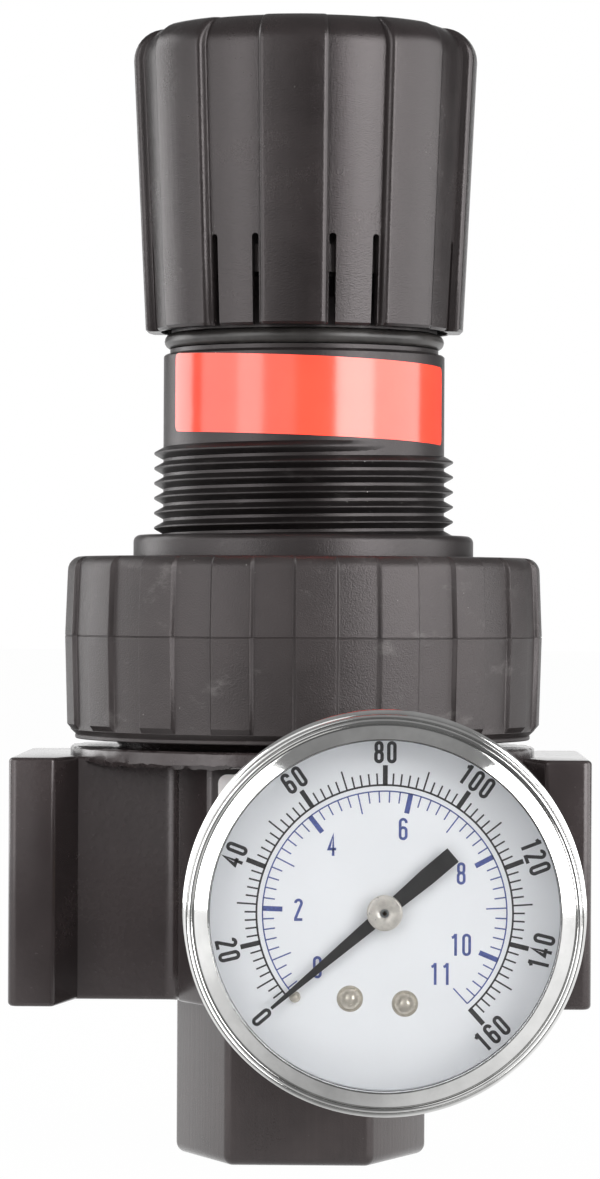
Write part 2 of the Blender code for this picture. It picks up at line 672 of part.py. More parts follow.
def make_body():
    block = bevelled_prism(body_outline(), BODY_BOTTOM, BODY_TOP, BODY_END_ROUND, BODY_END_ROUND)
    body = piece("body", block, "black_paint")
    rim_low = RIM_TOP - RIM_HEIGHT
    rim_and_neck = turned([(0, rim_low), (RIM_RADIUS, rim_low), (RIM_RADIUS, RIM_TOP),
                           (NECK_RADIUS, RIM_TOP), (NECK_RADIUS, NECK_TOP), (0, NECK_TOP)])
    combine(body, guide("body_rim_and_neck", rim_and_neck), "UNION")
    boss_face = BLOCK_DEPTH / 2 + GAUGE_BOSS_PROUD
    boss = moved(along_y(rod(GAUGE_BOSS_RADIUS, -boss_face, boss_face)), GAUGE_PORT_X, 0, GAUGE_Z)
    combine(body, guide("body_gauge_bosses", boss), "UNION")

    chamber_floor = NECK_TOP - FREE_SPACE_UNDER_DIAPHRAGM
    upper = turned([(0, WEB_TOP), (UPPER_CHAMBER_RADIUS, WEB_TOP),
                    (UPPER_CHAMBER_RADIUS, chamber_floor), (DIAPHRAGM_RADIUS, chamber_floor),
                    (DIAPHRAGM_RADIUS, NECK_TOP + GAP), (0, NECK_TOP + GAP)], COARSE)
    lower = turned([(0, BODY_BOTTOM - GAP), (PLUG_BORE_RADIUS, BODY_BOTTOM - GAP),
                    (PLUG_BORE_RADIUS, CHAMBER_BOTTOM), (LOWER_CHAMBER_RADIUS, CHAMBER_BOTTOM),
                    (LOWER_CHAMBER_RADIUS, WEB_BOTTOM), (SEAT_RADIUS + GAP, WEB_BOTTOM),
                    (SEAT_RADIUS + GAP, WEB_TOP + GAP), (0, WEB_TOP + GAP)], COARSE)
    combine(body, guide("body_upper_chamber", upper), "DIFFERENCE")
    combine(body, guide("body_lower_chamber", lower), "DIFFERENCE")

    end = BODY_WIDTH / 2
    beyond = end + GAP
    for side, name in ((-1, "inlet"), (1, "outlet")):
        bore = along_x(rod(PORT_RADIUS, end - PORT_DEPTH, beyond))
        if side < 0:
            bore = placed(bore, Matrix.Rotation(math.pi, 4, "Z"))
        combine(body, guide(f"body_{name}_bore", moved(bore, 0, 0, PORT_Z)), "DIFFERENCE")
    inner = end - PORT_DEPTH + GAP
    inlet_passage = along_x(rod(PASSAGE_RADIUS, -inner, -LOWER_CHAMBER_RADIUS / 2, SMALL))
    combine(body, guide("body_inlet_passage", moved(inlet_passage, 0, 0, PORT_Z)), "DIFFERENCE")
    outlet_passage = along_x(rod(OUTLET_PASSAGE_RADIUS, OUTLET_RISE_X, inner, SMALL))
    combine(body, guide("body_outlet_passage", moved(outlet_passage, 0, 0, PORT_Z)), "DIFFERENCE")
    outlet_rise = rod(OUTLET_PASSAGE_RADIUS, PORT_Z - OUTLET_PASSAGE_RADIUS, WEB_TOP + GAP, SMALL)
    combine(body, guide("body_outlet_rise", moved(outlet_rise, OUTLET_RISE_X, 0, 0)), "DIFFERENCE")
    for side, name in ((-1, "front"), (1, "rear")):
        port_end = boss_face - GAUGE_PORT_DEPTH
        low, high = sorted((side * port_end, side * (boss_face + GAP)))
        bore = moved(along_y(rod(GAUGE_PORT_RADIUS, low, high)), GAUGE_PORT_X, 0, GAUGE_Z)
        combine(body, guide(f"body_{name}_gauge_bore", bore), "DIFFERENCE")
        hole = moved(rod(SENSING_HOLE_RADIUS, GAUGE_Z, WEB_TOP + GAP, TINY),
                     GAUGE_PORT_X, side * (port_end + SENSING_HOLE_RADIUS), 0)
        combine(body, guide(f"body_{name}_sensing_hole", hole), "DIFFERENCE")


def make_front_plate():
    """The bare plate on the front block."""
    half = PLATE_WIDTH / 2
    top = RIM_TOP - RIM_HEIGHT - PLATE_TOP_DROP + MM
    corners = [(-half, -PLATE_HEIGHT / 2, PLATE_CORNER), (half, -PLATE_HEIGHT / 2, PLATE_CORNER),
               (half, PLATE_HEIGHT / 2, PLATE_CORNER), (-half, PLATE_HEIGHT / 2, PLATE_CORNER)]
    plate = placed(prism(rounded(corners, 3), 0, PLATE_THICKNESS), Matrix.Rotation(math.pi / 2, 4, "X"))
    face = -(BLOCK_DEPTH / 2 + GAP)
    piece("front_plate", plate, "grey_label", place=(0, face, top - PLATE_HEIGHT / 2))


def plug_outline():
    """The plug's six sides: wide front and rear faces, and corners at left and right."""
    half, face, deep = PLUG_WIDTH / 2, PLUG_FACE_WIDTH / 2, PLUG_DEPTH / 2
    corners = [(half, 0), (face, deep), (-face, deep), (-half, 0), (-face, -deep), (face, -deep)]
    return rounded([(x, y, PLUG_CORNER) for x, y in corners])


def make_bottom_plug():
    hexagon = rounded_foot_prism(plug_outline(), 0, BODY_BOTTOM - GAP, PLUG_FOOT_RADIUS)
    plug = piece("bottom_plug", hexagon, "black_plastic")
    groove_low = BODY_BOTTOM + GAP
    groove_high = groove_low + PLUG_SEAL_WIDTH
    groove_radius = PLUG_THREAD_RADIUS - PLUG_SEAL_DEPTH
    low = BODY_BOTTOM - 2 * MM
    spigot = turned([(0, low), (groove_radius, low), (groove_radius, groove_high),
                     (PLUG_THREAD_RADIUS, groove_high), (PLUG_THREAD_RADIUS, PLUG_THREAD_TOP),
                     (0, PLUG_THREAD_TOP)], COARSE)
    combine(plug, guide("plug_spigot", spigot), "UNION")
    pocket = turned([(0, GUIDE_BORE_FLOOR), (GUIDE_BORE_RADIUS, GUIDE_BORE_FLOOR),
                     (GUIDE_BORE_RADIUS, SPRING_POCKET_FLOOR),
                     (SPRING_POCKET_RADIUS, SPRING_POCKET_FLOOR),
                     (SPRING_POCKET_RADIUS, PLUG_THREAD_TOP + GAP), (0, PLUG_THREAD_TOP + GAP)], 24)
    combine(plug, guide("plug_pocket", pocket), "DIFFERENCE")
    wire = (PLUG_SEAL_WIDTH - 2 * GAP) / 2
    seal = torus(groove_radius + GAP + wire, wire, groove_low + PLUG_SEAL_WIDTH / 2, COARSE, 6)
    piece("plug_oring", seal, "black_rubber")


def make_rear_port_plug():
    """The plug in the rear gauge port, with a square socket."""
    face = BLOCK_DEPTH / 2 + GAUGE_BOSS_PROUD
    radius = GAUGE_PORT_RADIUS - GAP
    length = PORT_PLUG_LENGTH
    outline = turned([(0, -length), (radius - 0.5 * MM, -length), (radius, -length + 0.5 * MM),
                      (radius, 0), (0, 0)], 24)
    plug = piece("rear_port_plug", along_y(outline), "steel", place=(GAUGE_PORT_X, face, GAUGE_Z))
    half = PORT_PLUG_SOCKET / 2
    socket = prism([(-half, -half), (half, -half), (half, half), (-half, half)],
                   -PORT_PLUG_SOCKET_DEPTH, GAP)
    cutter = guide("rear_port_plug_socket", along_y(socket))
    cutter.location = plug.location
    combine(plug, cutter, "DIFFERENCE")


# Valve

def make_valve_seat():
    flange_low = WEB_TOP + GAP
    flange_high = flange_low + SEAT_FLANGE_THICKNESS
    profile = [(SEAT_BORE_RADIUS, SEAT_BOTTOM), (SEAT_BORE_RADIUS + 0.8 * MM, SEAT_BOTTOM),
               (SEAT_RADIUS, WEB_BOTTOM), (SEAT_RADIUS, flange_low),
               (SEAT_FLANGE_RADIUS, flange_low), (SEAT_FLANGE_RADIUS, flange_high),
               (SEAT_BORE_RADIUS, flange_high)]
    piece("valve_seat", turned(profile, 24, ring=True), "brass")


def make_valve(axis):
    """Poppet with its stem and tail, and the two seals that it carries."""
    groove_radius = TAIL_RADIUS - TAIL_SEAL_GROOVE
    tail_bottom = GUIDE_BORE_FLOOR + 2.4 * MM
    groove_low = tail_bottom + 1.0 * MM
    groove_high = groove_low + TAIL_SEAL_WIDTH
    tip_bottom = RELIEF_BOTTOM - GAP - 0.8 * MM
    boss_radius = SEAL_BORE_RADIUS - GAP
    profile = [(0, tail_bottom), (TAIL_RADIUS, tail_bottom), (TAIL_RADIUS, groove_low),
               (groove_radius, groove_low), (groove_radius, groove_high),
               (TAIL_RADIUS, groove_high), (TAIL_RADIUS, POPPET_BOTTOM),
               (POPPET_RADIUS, POPPET_BOTTOM), (POPPET_RADIUS, POPPET_TOP),
               (boss_radius, POPPET_TOP), (boss_radius, SEAL_TOP), (STEM_RADIUS, SEAL_TOP),
               (STEM_RADIUS, tip_bottom), (STEM_TIP_RADIUS, RELIEF_BOTTOM - GAP),
               (0, RELIEF_BOTTOM - GAP)]
    piece("valve_poppet", turned(profile, SMALL), "white_plastic", axis)
    seal_low = POPPET_TOP + GAP
    seal = [(SEAL_BORE_RADIUS, seal_low), (SEAL_RADIUS, seal_low), (SEAL_RADIUS, SEAL_TOP),
            (SEAL_BORE_RADIUS, SEAL_TOP)]
    piece("valve_seal", turned(seal, 24, ring=True), "black_rubber", axis)
    wire = (TAIL_SEAL_WIDTH - 2 * GAP) / 2
    ring = torus(groove_radius + GAP + wire, wire, groove_low + TAIL_SEAL_WIDTH / 2, SMALL, 6)
    piece("tail_oring", ring, "black_rubber", axis)
    coil("valve_spring", "steel", VALVE_SPRING_RADIUS, VALVE_SPRING_WIRE,
         SPRING_POCKET_FLOOR + GAP, POPPET_BOTTOM - GAP, VALVE_SPRING_TURNS)


# Diaphragm

def make_diaphragm(axis):
    low, high = DIAPHRAGM_WEB_BOTTOM, DIAPHRAGM_WEB_TOP
    bead_radius = DIAPHRAGM_RADIUS + GAP
    outside = NECK_RADIUS - GAP
    plate = DIAPHRAGM_PLATE_RADIUS + GAP
    crest = (plate + bead_radius) / 2
    profile = [(DIAPHRAGM_HOLE_RADIUS, low), (plate, low), (crest, low + DIAPHRAGM_WAVE),
               (bead_radius, low), (bead_radius, DIAPHRAGM_BOTTOM), (outside, DIAPHRAGM_BOTTOM),
               (outside, DIAPHRAGM_TOP), (bead_radius, DIAPHRAGM_TOP), (bead_radius, high),
               (crest, high + DIAPHRAGM_WAVE), (plate, high), (DIAPHRAGM_HOLE_RADIUS, high)]
    piece("diaphragm", turned(profile, COARSE, ring=True), "black_rubber")

    hole = DIAPHRAGM_HOLE_RADIUS
    boss_top = DIAPHRAGM_PLATE_TOP + DIAPHRAGM_PLATE_BOSS_HEIGHT
    plate_profile = [(hole, DIAPHRAGM_PLATE_BOTTOM), (DIAPHRAGM_PLATE_RADIUS, DIAPHRAGM_PLATE_BOTTOM),
                     (DIAPHRAGM_PLATE_RADIUS, DIAPHRAGM_PLATE_TOP),
                     (DIAPHRAGM_PLATE_BOSS_RADIUS, DIAPHRAGM_PLATE_TOP),
                     (DIAPHRAGM_PLATE_BOSS_RADIUS - MM, boss_top), (hole, boss_top)]
    piece("diaphragm_plate", turned(plate_profile, COARSE, ring=True), "steel", axis)

    stud = hole - GAP
    orifice = RELIEF_ORIFICE_RADIUS
    relief = [(orifice, RELIEF_BOTTOM), (RELIEF_NOSE_RADIUS, RELIEF_BOTTOM),
              (RELIEF_NOSE_RADIUS, RELIEF_FLANGE_BOTTOM), (RELIEF_FLANGE_RADIUS, RELIEF_FLANGE_BOTTOM),
              (RELIEF_FLANGE_RADIUS, RELIEF_FLANGE_TOP), (stud, RELIEF_FLANGE_TOP),
              (stud, RELIEF_STUD_TOP), (orifice, RELIEF_STUD_TOP)]
    piece("relief_seat", turned(relief, 24, ring=True), "brass", axis)
    coil("range_spring", "steel", RANGE_SPRING_RADIUS, RANGE_SPRING_WIRE,
         DIAPHRAGM_PLATE_TOP + GAP, REST_BOTTOM - GAP, RANGE_SPRING_TURNS)


# Bonnet, collar and the pieces round the neck

def tooth_ring(inner, outer, low, high, teeth, share, inward):
    """A ring with square teeth on its outside, or on its inside."""
    outline = []
    pitch = FULL_TURN / teeth
    for index in range(teeth):
        start = index * pitch
        half = pitch * share / 2
        for angle, tip in ((-half, False), (-half, True), (half, True), (half, False)):
            outline.append(polar(start + angle, (inner if tip == inward else outer)))
    return prism(outline, low, high)


def make_bonnet():
    skirt = BONNET_SKIRT_BORE
    wide = DIAPHRAGM_RADIUS + GAP
    chamber_low = FLANGE_TOP + 2 * MM
    edge = BONNET_FLANGE_EDGE
    groove_low = BONNET_NECK_TOP + BONNET_GROOVE_LENGTH
    seal_groove = NECK_SEAL_RADIUS - NECK_SEAL_WIRE - GAP
    profile = [
        (wide, BONNET_BOTTOM), (NECK_RADIUS, BONNET_BOTTOM), (NECK_RADIUS, BONNET_LEDGE),
        (BONNET_FLANGE_RADIUS, BONNET_LEDGE), (BONNET_FLANGE_RADIUS, FLANGE_TOP - edge),
        (BONNET_FLANGE_RADIUS - edge, FLANGE_TOP), (THREAD_RADIUS, FLANGE_TOP),
        (THREAD_RADIUS, THREAD_TOP), (BONNET_NECK_RADIUS, THREAD_TOP),
        (BONNET_NECK_RADIUS, BONNET_NECK_TOP), (BONNET_GROOVE_RADIUS, BONNET_NECK_TOP + BONNET_GROOVE_LENGTH / 2),
        (BONNET_GROOVE_RADIUS, groove_low), (seal_groove, groove_low),
        (seal_groove, SEAL_GROOVE_TOP), (BONNET_TOP_RADIUS, SEAL_GROOVE_TOP),
        (BONNET_TOP_RADIUS, BONNET_TOP), (SCREW_HOLE_RADIUS, BONNET_TOP),
        (SCREW_HOLE_RADIUS, BONNET_CEILING), (BONNET_THROAT_RADIUS, BONNET_CEILING),
        (BONNET_THROAT_RADIUS, CHAMBER_THROAT), (BONNET_CHAMBER_RADIUS, CHAMBER_THROAT),
        (BONNET_CHAMBER_RADIUS, chamber_low), (skirt, FLANGE_TOP - 3 * MM),
        (skirt, BONNET_LEDGE), (wide, BONNET_LEDGE - 4 * MM),
    ]
    bonnet = piece("bonnet", turned(profile, FINE, ring=True), "black_plastic")
    crown = tooth_ring(LOCK_ROOT_RADIUS, LOCK_ROOT_RADIUS + LOCK_TOOTH_DEPTH, BONNET_TOP - GAP,
                       LOCK_TOP, LOCK_TEETH, LOCK_TOOTH_SHARE, inward=False)
    crown = guide("bonnet_lock_teeth", crown)
    crown_bore = rod(LOCK_ROOT_RADIUS - 2 * MM, BONNET_TOP - MM, LOCK_TOP + GAP)
    combine(crown, guide("bonnet_crown_bore", crown_bore), "DIFFERENCE")
    combine(bonnet, crown, "UNION")
    deep = BONNET_CHAMBER_RADIUS + 0.5 * MM
    for side in (-1, 1):
        key_low = CHAMBER_THROAT - KEY_LENGTH
        outline = [(side * (BONNET_CHAMBER_RADIUS - KEY_DEPTH), -KEY_WIDTH / 2),
                   (side * deep, -KEY_WIDTH / 2), (side * deep, KEY_WIDTH / 2),
                   (side * (BONNET_CHAMBER_RADIUS - KEY_DEPTH), KEY_WIDTH / 2)]
        key = prism(outline, key_low, CHAMBER_THROAT + 0.5 * MM)
        combine(bonnet, guide(f"bonnet_key_{'left' if side < 0 else 'right'}", key), "UNION")
    piece("neck_oring", torus(NECK_SEAL_RADIUS, NECK_SEAL_WIRE, NECK_SEAL_Z, FINE, 6), "black_rubber")


def make_label_band():
    """A bare sticker that wraps the front of the neck, a little out of level."""
    inner = BONNET_NECK_RADIUS + STICKER_GAP
    outer = inner + LABEL_THICKNESS
    middle = (LABEL_START + LABEL_END) / 2
    centre = BONNET_NECK_TOP - LABEL_DROP
    steps = 26
    rings = []
    for step in range(steps + 1):
        angle = LABEL_START + (LABEL_END - LABEL_START) * step / steps
        drop = (angle - middle) * outer * math.tan(LABEL_TILT)
        low = centre - drop - LABEL_HEIGHT / 2
        high = low + LABEL_HEIGHT
        section = ((inner, low), (outer, low), (outer, high), (inner, high))
        rings.append([(*polar(angle - math.pi / 2, radius), height) for radius, height in section])
    piece("label_band", lofted(rings), "orange_label")


def collar_ring(radius, height, rib):
    """One level of the collar: a circle on which the grip ribs stand by rib."""
    outline = []
    pitch = FULL_TURN / COLLAR_RIBS
    half = pitch * COLLAR_RIB_SHARE / 2
    flank = 0.04 * pitch
    for index in range(COLLAR_RIBS):
        middle = index * pitch + COLLAR_RIB_TURN - math.pi / 2
        for angle, rise in ((-half - flank, 0), (-half, rib), (half, rib), (half + flank, 0),
                            (pitch / 2, 0)):
            outline.append((*polar(middle + angle, radius + rise), height))
    return outline


def make_collar():
    """Ribbed ring nut that clamps the bonnet and the diaphragm to the body."""
    wall = COLLAR_RADIUS - COLLAR_RIB_HEIGHT
    parting = COLLAR_BOTTOM + COLLAR_PARTING_HEIGHT
    rib_foot = COLLAR_BOTTOM + COLLAR_RIB_LIFT
    rib = COLLAR_RIB_HEIGHT
    rings = [
        collar_ring(wall - COLLAR_DRAFT - COLLAR_FOOT_CHAMFER, COLLAR_BOTTOM, 0),
        collar_ring(wall - COLLAR_DRAFT, COLLAR_BOTTOM + COLLAR_FOOT_CHAMFER, 0),
        collar_ring(wall - COLLAR_DRAFT, rib_foot, 0.05 * MM),
        collar_ring(wall - COLLAR_DRAFT, rib_foot + 0.1 * MM, rib),
        collar_ring(wall, parting, rib),
        collar_ring(wall - COLLAR_DRAFT, COLLAR_TOP - COLLAR_TOP_ROUND, rib),
        collar_ring(wall - COLLAR_DRAFT - 0.3 * COLLAR_TOP_ROUND, COLLAR_TOP - 0.3 * COLLAR_TOP_ROUND,
                    rib * 0.8),
        collar_ring(wall - COLLAR_DRAFT - COLLAR_TOP_ROUND, COLLAR_TOP, 0.02 * MM),
    ]
    collar = piece("collar_nut", lofted(rings), "black_plastic")
    bore = turned([(0, COLLAR_BOTTOM - GAP), (COLLAR_BORE_RADIUS, COLLAR_BOTTOM - GAP),
                   (COLLAR_BORE_RADIUS, COLLAR_LEDGE), (BONNET_FLANGE_RADIUS + GAP, COLLAR_LEDGE),
                   (BONNET_FLANGE_RADIUS + GAP, COLLAR_TOP + GAP), (0, COLLAR_TOP + GAP)])
    combine(collar, guide("collar_bore", bore), "DIFFERENCE")


# Adjusting screw, spring rest and knob

def make_adjusting_screw(axis):
    """Threaded shank with a thrust collar, and a hexagonal head that the knob slides on."""
    groove = SCREW_RADIUS - CLIP_GROOVE_DEPTH
    profile = [(0, SCREW_BOTTOM), (SCREW_RADIUS - 0.8 * MM, SCREW_BOTTOM),
               (SCREW_RADIUS, SCREW_BOTTOM + 0.8 * MM), (SCREW_RADIUS, SCREW_COLLAR_BOTTOM),
               (SCREW_COLLAR_RADIUS, SCREW_COLLAR_BOTTOM), (SCREW_COLLAR_RADIUS, SCREW_COLLAR_TOP),
               (SCREW_RADIUS, SCREW_COLLAR_TOP), (SCREW_RADIUS, CLIP_BOTTOM - GAP),
               (groove, CLIP_BOTTOM - GAP), (groove, SCREW_HEAD_BOTTOM + MM),
               (0, SCREW_HEAD_BOTTOM + MM)]
    screw = piece("adjusting_screw", turned(profile, 24), "steel", axis)
    head_outline = circle(SCREW_HEAD_RADIUS, 6)
    head = lofted([at_height(head_outline, SCREW_HEAD_BOTTOM),
                   at_height(head_outline, SCREW_HEAD_TOP - MM),
                   at_height(inset(head_outline, MM), SCREW_HEAD_TOP)])
    combine(screw, guide("screw_head", head, axis), "UNION")

    washer = [(SCREW_RADIUS + GAP, WASHER_TOP - WASHER_THICKNESS),
              (SCREW_COLLAR_RADIUS, WASHER_TOP - WASHER_THICKNESS),
              (SCREW_COLLAR_RADIUS, WASHER_TOP), (SCREW_RADIUS + GAP, WASHER_TOP)]
    piece("thrust_washer", turned(washer, 24, ring=True), "white_plastic")

    clip_inner = groove + GAP
    start = CLIP_OPENING / 2
    steps = 14
    angles = [start + (FULL_TURN - CLIP_OPENING) * step / steps for step in range(steps + 1)]
    outline = [polar(angle, CLIP_RADIUS) for angle in angles]
    outline += [polar(angle, clip_inner) for angle in reversed(angles)]
    piece("retaining_clip", prism(outline, CLIP_BOTTOM, CLIP_TOP), "steel", axis)


def make_spring_rest(axis):
    """The nut that the screw drives down onto the range spring."""
    hole = SCREW_RADIUS + GAP
    profile = [(hole, REST_BOTTOM), (REST_RADIUS, REST_BOTTOM), (REST_RADIUS, REST_SHOULDER),
               (REST_BOSS_RADIUS, REST_SHOULDER), (REST_BOSS_RADIUS, REST_TOP), (hole, REST_TOP)]
    rest = piece("spring_rest", turned(profile, COARSE, ring=True), "brass", axis)
    half = KEY_WIDTH / 2 + GAP
    slot_floor = BONNET_CHAMBER_RADIUS - KEY_DEPTH - GAP
    for side in (-1, 1):
        outline = [(side * slot_floor, -half), (side * BONNET_CHAMBER_RADIUS, -half),
                   (side * BONNET_CHAMBER_RADIUS, half), (side * slot_floor, half)]
        slot = prism(outline, REST_BOTTOM - GAP, REST_SHOULDER + GAP)
        cutter = guide(f"spring_rest_slot_{'left' if side < 0 else 'right'}", slot, axis)
        combine(rest, cutter, "DIFFERENCE")


def knob_ring(radius, height, rib):
    """One level of the knob: wide ribs and shallow valleys."""
    outline = []
    pitch = FULL_TURN / KNOB_RIBS
    half = KNOB_RIB_ANGLE / 2
    foot = half + KNOB_RIB_FLANK
    for index in range(KNOB_RIBS):
        middle = index * pitch + KNOB_TURN - math.pi / 2
        for angle, drop in ((-half, 0.25 * rib), (-half * 0.86, 0), (-half * 0.4, 0), (half * 0.4, 0),
                            (half * 0.86, 0), (half, 0.25 * rib), (foot, rib),
                            (pitch / 2 - 0.3 * half, rib), (pitch / 2 + 0.3 * half, rib),
                            (pitch - foot, rib)):
            outline.append((*polar(middle + angle, radius - drop), height))
    return outline


def make_knob(axis):
    """Hand knob with spring fingers at its foot, a hexagonal hub and locking teeth."""
    widest = KNOB_TOP - KNOB_WIDEST_DROP
    slot_top = KNOB_BOTTOM + KNOB_SLOT_HEIGHT
    rib = KNOB_RIB_HEIGHT
    rings = [knob_ring(KNOB_FOOT_RADIUS - 0.3 * MM, KNOB_BOTTOM, rib),
             knob_ring(KNOB_FOOT_RADIUS, KNOB_BOTTOM + 0.4 * MM, rib),
             knob_ring(KNOB_TOP_RADIUS, widest, rib)]
    for step in (1, 2, 3, 4):
        angle = math.pi / 2 * step / 4
        radius = KNOB_TOP_RADIUS - KNOB_TOP_ROUND * (1 - math.cos(angle))
        rings.append(knob_ring(radius, widest + KNOB_WIDEST_DROP * math.sin(angle),
                               rib * (1 - 0.24 * step)))
    knob = piece("knob", lofted(rings), "black_plastic", axis)

    lock_low = LOCK_TOP + LOCK_CLEAR
    lock_high = lock_low + LOCK_TOOTH_LENGTH
    wall_low = lock_high + 1.0 * MM
    wall_radius = KNOB_TOP_RADIUS - KNOB_RIB_HEIGHT - KNOB_WALL
    ceiling = KNOB_TOP - KNOB_TOP_WALL
    root = LOCK_ROOT_RADIUS + LOCK_TOOTH_DEPTH + LOCK_TIP_GAP
    skirt = turned([(0, KNOB_BOTTOM - GAP), (KNOB_SKIRT_BORE, KNOB_BOTTOM - GAP),
                    (KNOB_SKIRT_BORE, lock_low), (0, lock_low)])
    combine(knob, guide("knob_skirt_bore", skirt, axis), "DIFFERENCE")
    tip = LOCK_ROOT_RADIUS + LOCK_TIP_GAP
    teeth = tooth_ring(tip, root, lock_low - GAP, wall_low, LOCK_TEETH, LOCK_TOOTH_SHARE, inward=True)
    teeth = placed(teeth, Matrix.Rotation(math.pi / LOCK_TEETH, 4, "Z"))
    combine(knob, guide("knob_lock_teeth", teeth, axis), "DIFFERENCE")
    cavity = turned([(KNOB_HUB_RADIUS, wall_low - GAP), (root, wall_low - GAP),
                     (KNOB_SKIRT_BORE, wall_low + 2 * MM), (wall_radius, ceiling - 2 * MM),
                     (wall_radius - 2 * MM, ceiling), (KNOB_HUB_RADIUS, ceiling)], COARSE, ring=True)
    combine(knob, guide("knob_cavity", cavity, axis), "DIFFERENCE")
    hub_bore = circle((SCREW_HEAD_FLATS / 2 + GAP) / math.cos(math.pi / 6), 6)
    bore = prism(hub_bore, wall_low - 2 * GAP, SCREW_HEAD_TOP + LOCK_TRAVEL + LOCK_CLEAR)
    combine(knob, guide("knob_hub_bore", bore, axis), "DIFFERENCE")
    slots = []
    foot = KNOB_RIB_ANGLE / 2 + KNOB_RIB_FLANK
    offset = foot + KNOB_SLOT_WIDTH / 2 / KNOB_FOOT_RADIUS
    for index in range(KNOB_RIBS):
        for side in (-1, 1):
            angle = index * FULL_TURN / KNOB_RIBS + KNOB_TURN - math.pi / 2 + side * offset
            half = KNOB_SLOT_WIDTH / 2
            inner = LOCK_ROOT_RADIUS
            box = prism([(inner, -half), (KNOB_TOP_RADIUS + MM, -half),
                         (KNOB_TOP_RADIUS + MM, half), (inner, half)],
                        KNOB_BOTTOM - MM, slot_top)
            slots.append(placed(box, Matrix.Rotation(angle, 4, "Z")))
    combine(knob, guide("knob_slots", joined(*slots), axis), "DIFFERENCE")


# Gauge: every piece is drawn as seen from the front, x right, y up, z towards the viewer

def stack(profile, steps=FINE):
    """A turned ring in the gauge."""
    return turned(profile, steps, ring=True)


def make_gauge_socket(gauge):
    """Brass stem with its hexagon, the tube block inside the case and two dial posts."""
    radius = STEM_RADIUS_GAUGE
    stem = [(0, -STEM_THREAD_LENGTH), (radius - 0.6 * MM, -STEM_THREAD_LENGTH),
            (radius, -STEM_THREAD_LENGTH + 0.6 * MM), (radius, TUBE_BLOCK_BACK + MM),
            (0, TUBE_BLOCK_BACK + MM)]
    socket = piece("gauge_socket", turned(stem, COARSE), "brass", gauge)
    outline = circle(HEX_FLATS / 2 / math.cos(math.pi / 6), 6, turn=math.pi / 6)
    edge = 0.5 * MM
    hexagon = lofted([at_height(inset(outline, edge), HEX_STANDOFF),
                      at_height(outline, HEX_STANDOFF + edge), at_height(outline, HEX_TOP - edge),
                      at_height(inset(outline, edge), HEX_TOP)])
    combine(socket, guide("socket_hexagon", hexagon, gauge), "UNION")
    half = TUBE_BLOCK_WIDTH / 2
    low = TUBE_BLOCK_RISE - TUBE_BLOCK_LENGTH
    block = prism([(-half, low), (half, low), (half, TUBE_BLOCK_RISE), (-half, TUBE_BLOCK_RISE)],
                  TUBE_BLOCK_BACK, TUBE_BLOCK_FRONT)
    combine(socket, guide("socket_block", block, gauge), "UNION")
    posts = []
    holes = [rod(SENSING_HOLE_RADIUS, -STEM_THREAD_LENGTH - GAP, TUBE_BLOCK_BACK + 2 * MM, TINY)]
    for x, y in DIAL_SCREWS:
        post = prism(circle(DIAL_POST_RADIUS, SMALL, (x, y)), TUBE_BLOCK_FRONT - MM, POST_TOP)
        posts.append(post)
        hole = circle(DIAL_SCREW_SHANK_RADIUS + GAP, TINY, (x, y))
        holes.append(prism(hole, POST_TOP - DIAL_SCREW_LENGTH, POST_TOP + GAP))
    combine(socket, guide("socket_posts", joined(*posts), gauge), "UNION")
    combine(socket, guide("socket_holes", joined(*holes), gauge), "DIFFERENCE")


def make_gauge_case(gauge):
    hole = STEM_RADIUS_GAUGE + GAP
    inside = CASE_RADIUS - CASE_WALL
    edge = CASE_EDGE_ROUND
    back_edge = arc((CASE_RADIUS - edge, CASE_BACK + edge), edge, -math.pi / 2, 0, 2)
    profile = [(hole, CASE_BACK), *back_edge, (CASE_RADIUS, CASE_FRONT), (inside, CASE_FRONT),
               (inside, CASE_FLOOR + edge - CASE_WALL), (inside - edge + CASE_WALL, CASE_FLOOR),
               (hole, CASE_FLOOR)]
    piece("gauge_case", stack(profile), "black_paint", gauge)


def make_gauge_bezel(gauge):
    """Chrome ring with a rolled front edge and a sloping lip over the lens."""
    bore = CASE_RADIUS + GAP
    roll = arc((BEZEL_RADIUS - BEZEL_ROLL, BEZEL_FRONT - BEZEL_ROLL), BEZEL_ROLL, 0, math.pi / 2, 4)
    profile = [(bore, BEZEL_BACK), (BEZEL_RADIUS - 0.3 * MM, BEZEL_BACK),
               (BEZEL_RADIUS, BEZEL_BACK + 0.5 * MM), *roll,
               (BEZEL_LIP_RADIUS, BEZEL_LIP_BACK + 0.4 * MM), (BEZEL_LIP_RADIUS, BEZEL_LIP_BACK),
               (bore, BEZEL_LIP_BACK)]
    piece("gauge_bezel", stack(profile), "chrome", gauge)
    lens = turned([(0, LENS_BACK), (CASE_RADIUS - CASE_WALL / 4, LENS_BACK),
                   (CASE_RADIUS - CASE_WALL / 4, LENS_FRONT), (0, LENS_FRONT)], FINE)
    piece("gauge_lens", lens, "clear_lens", gauge)


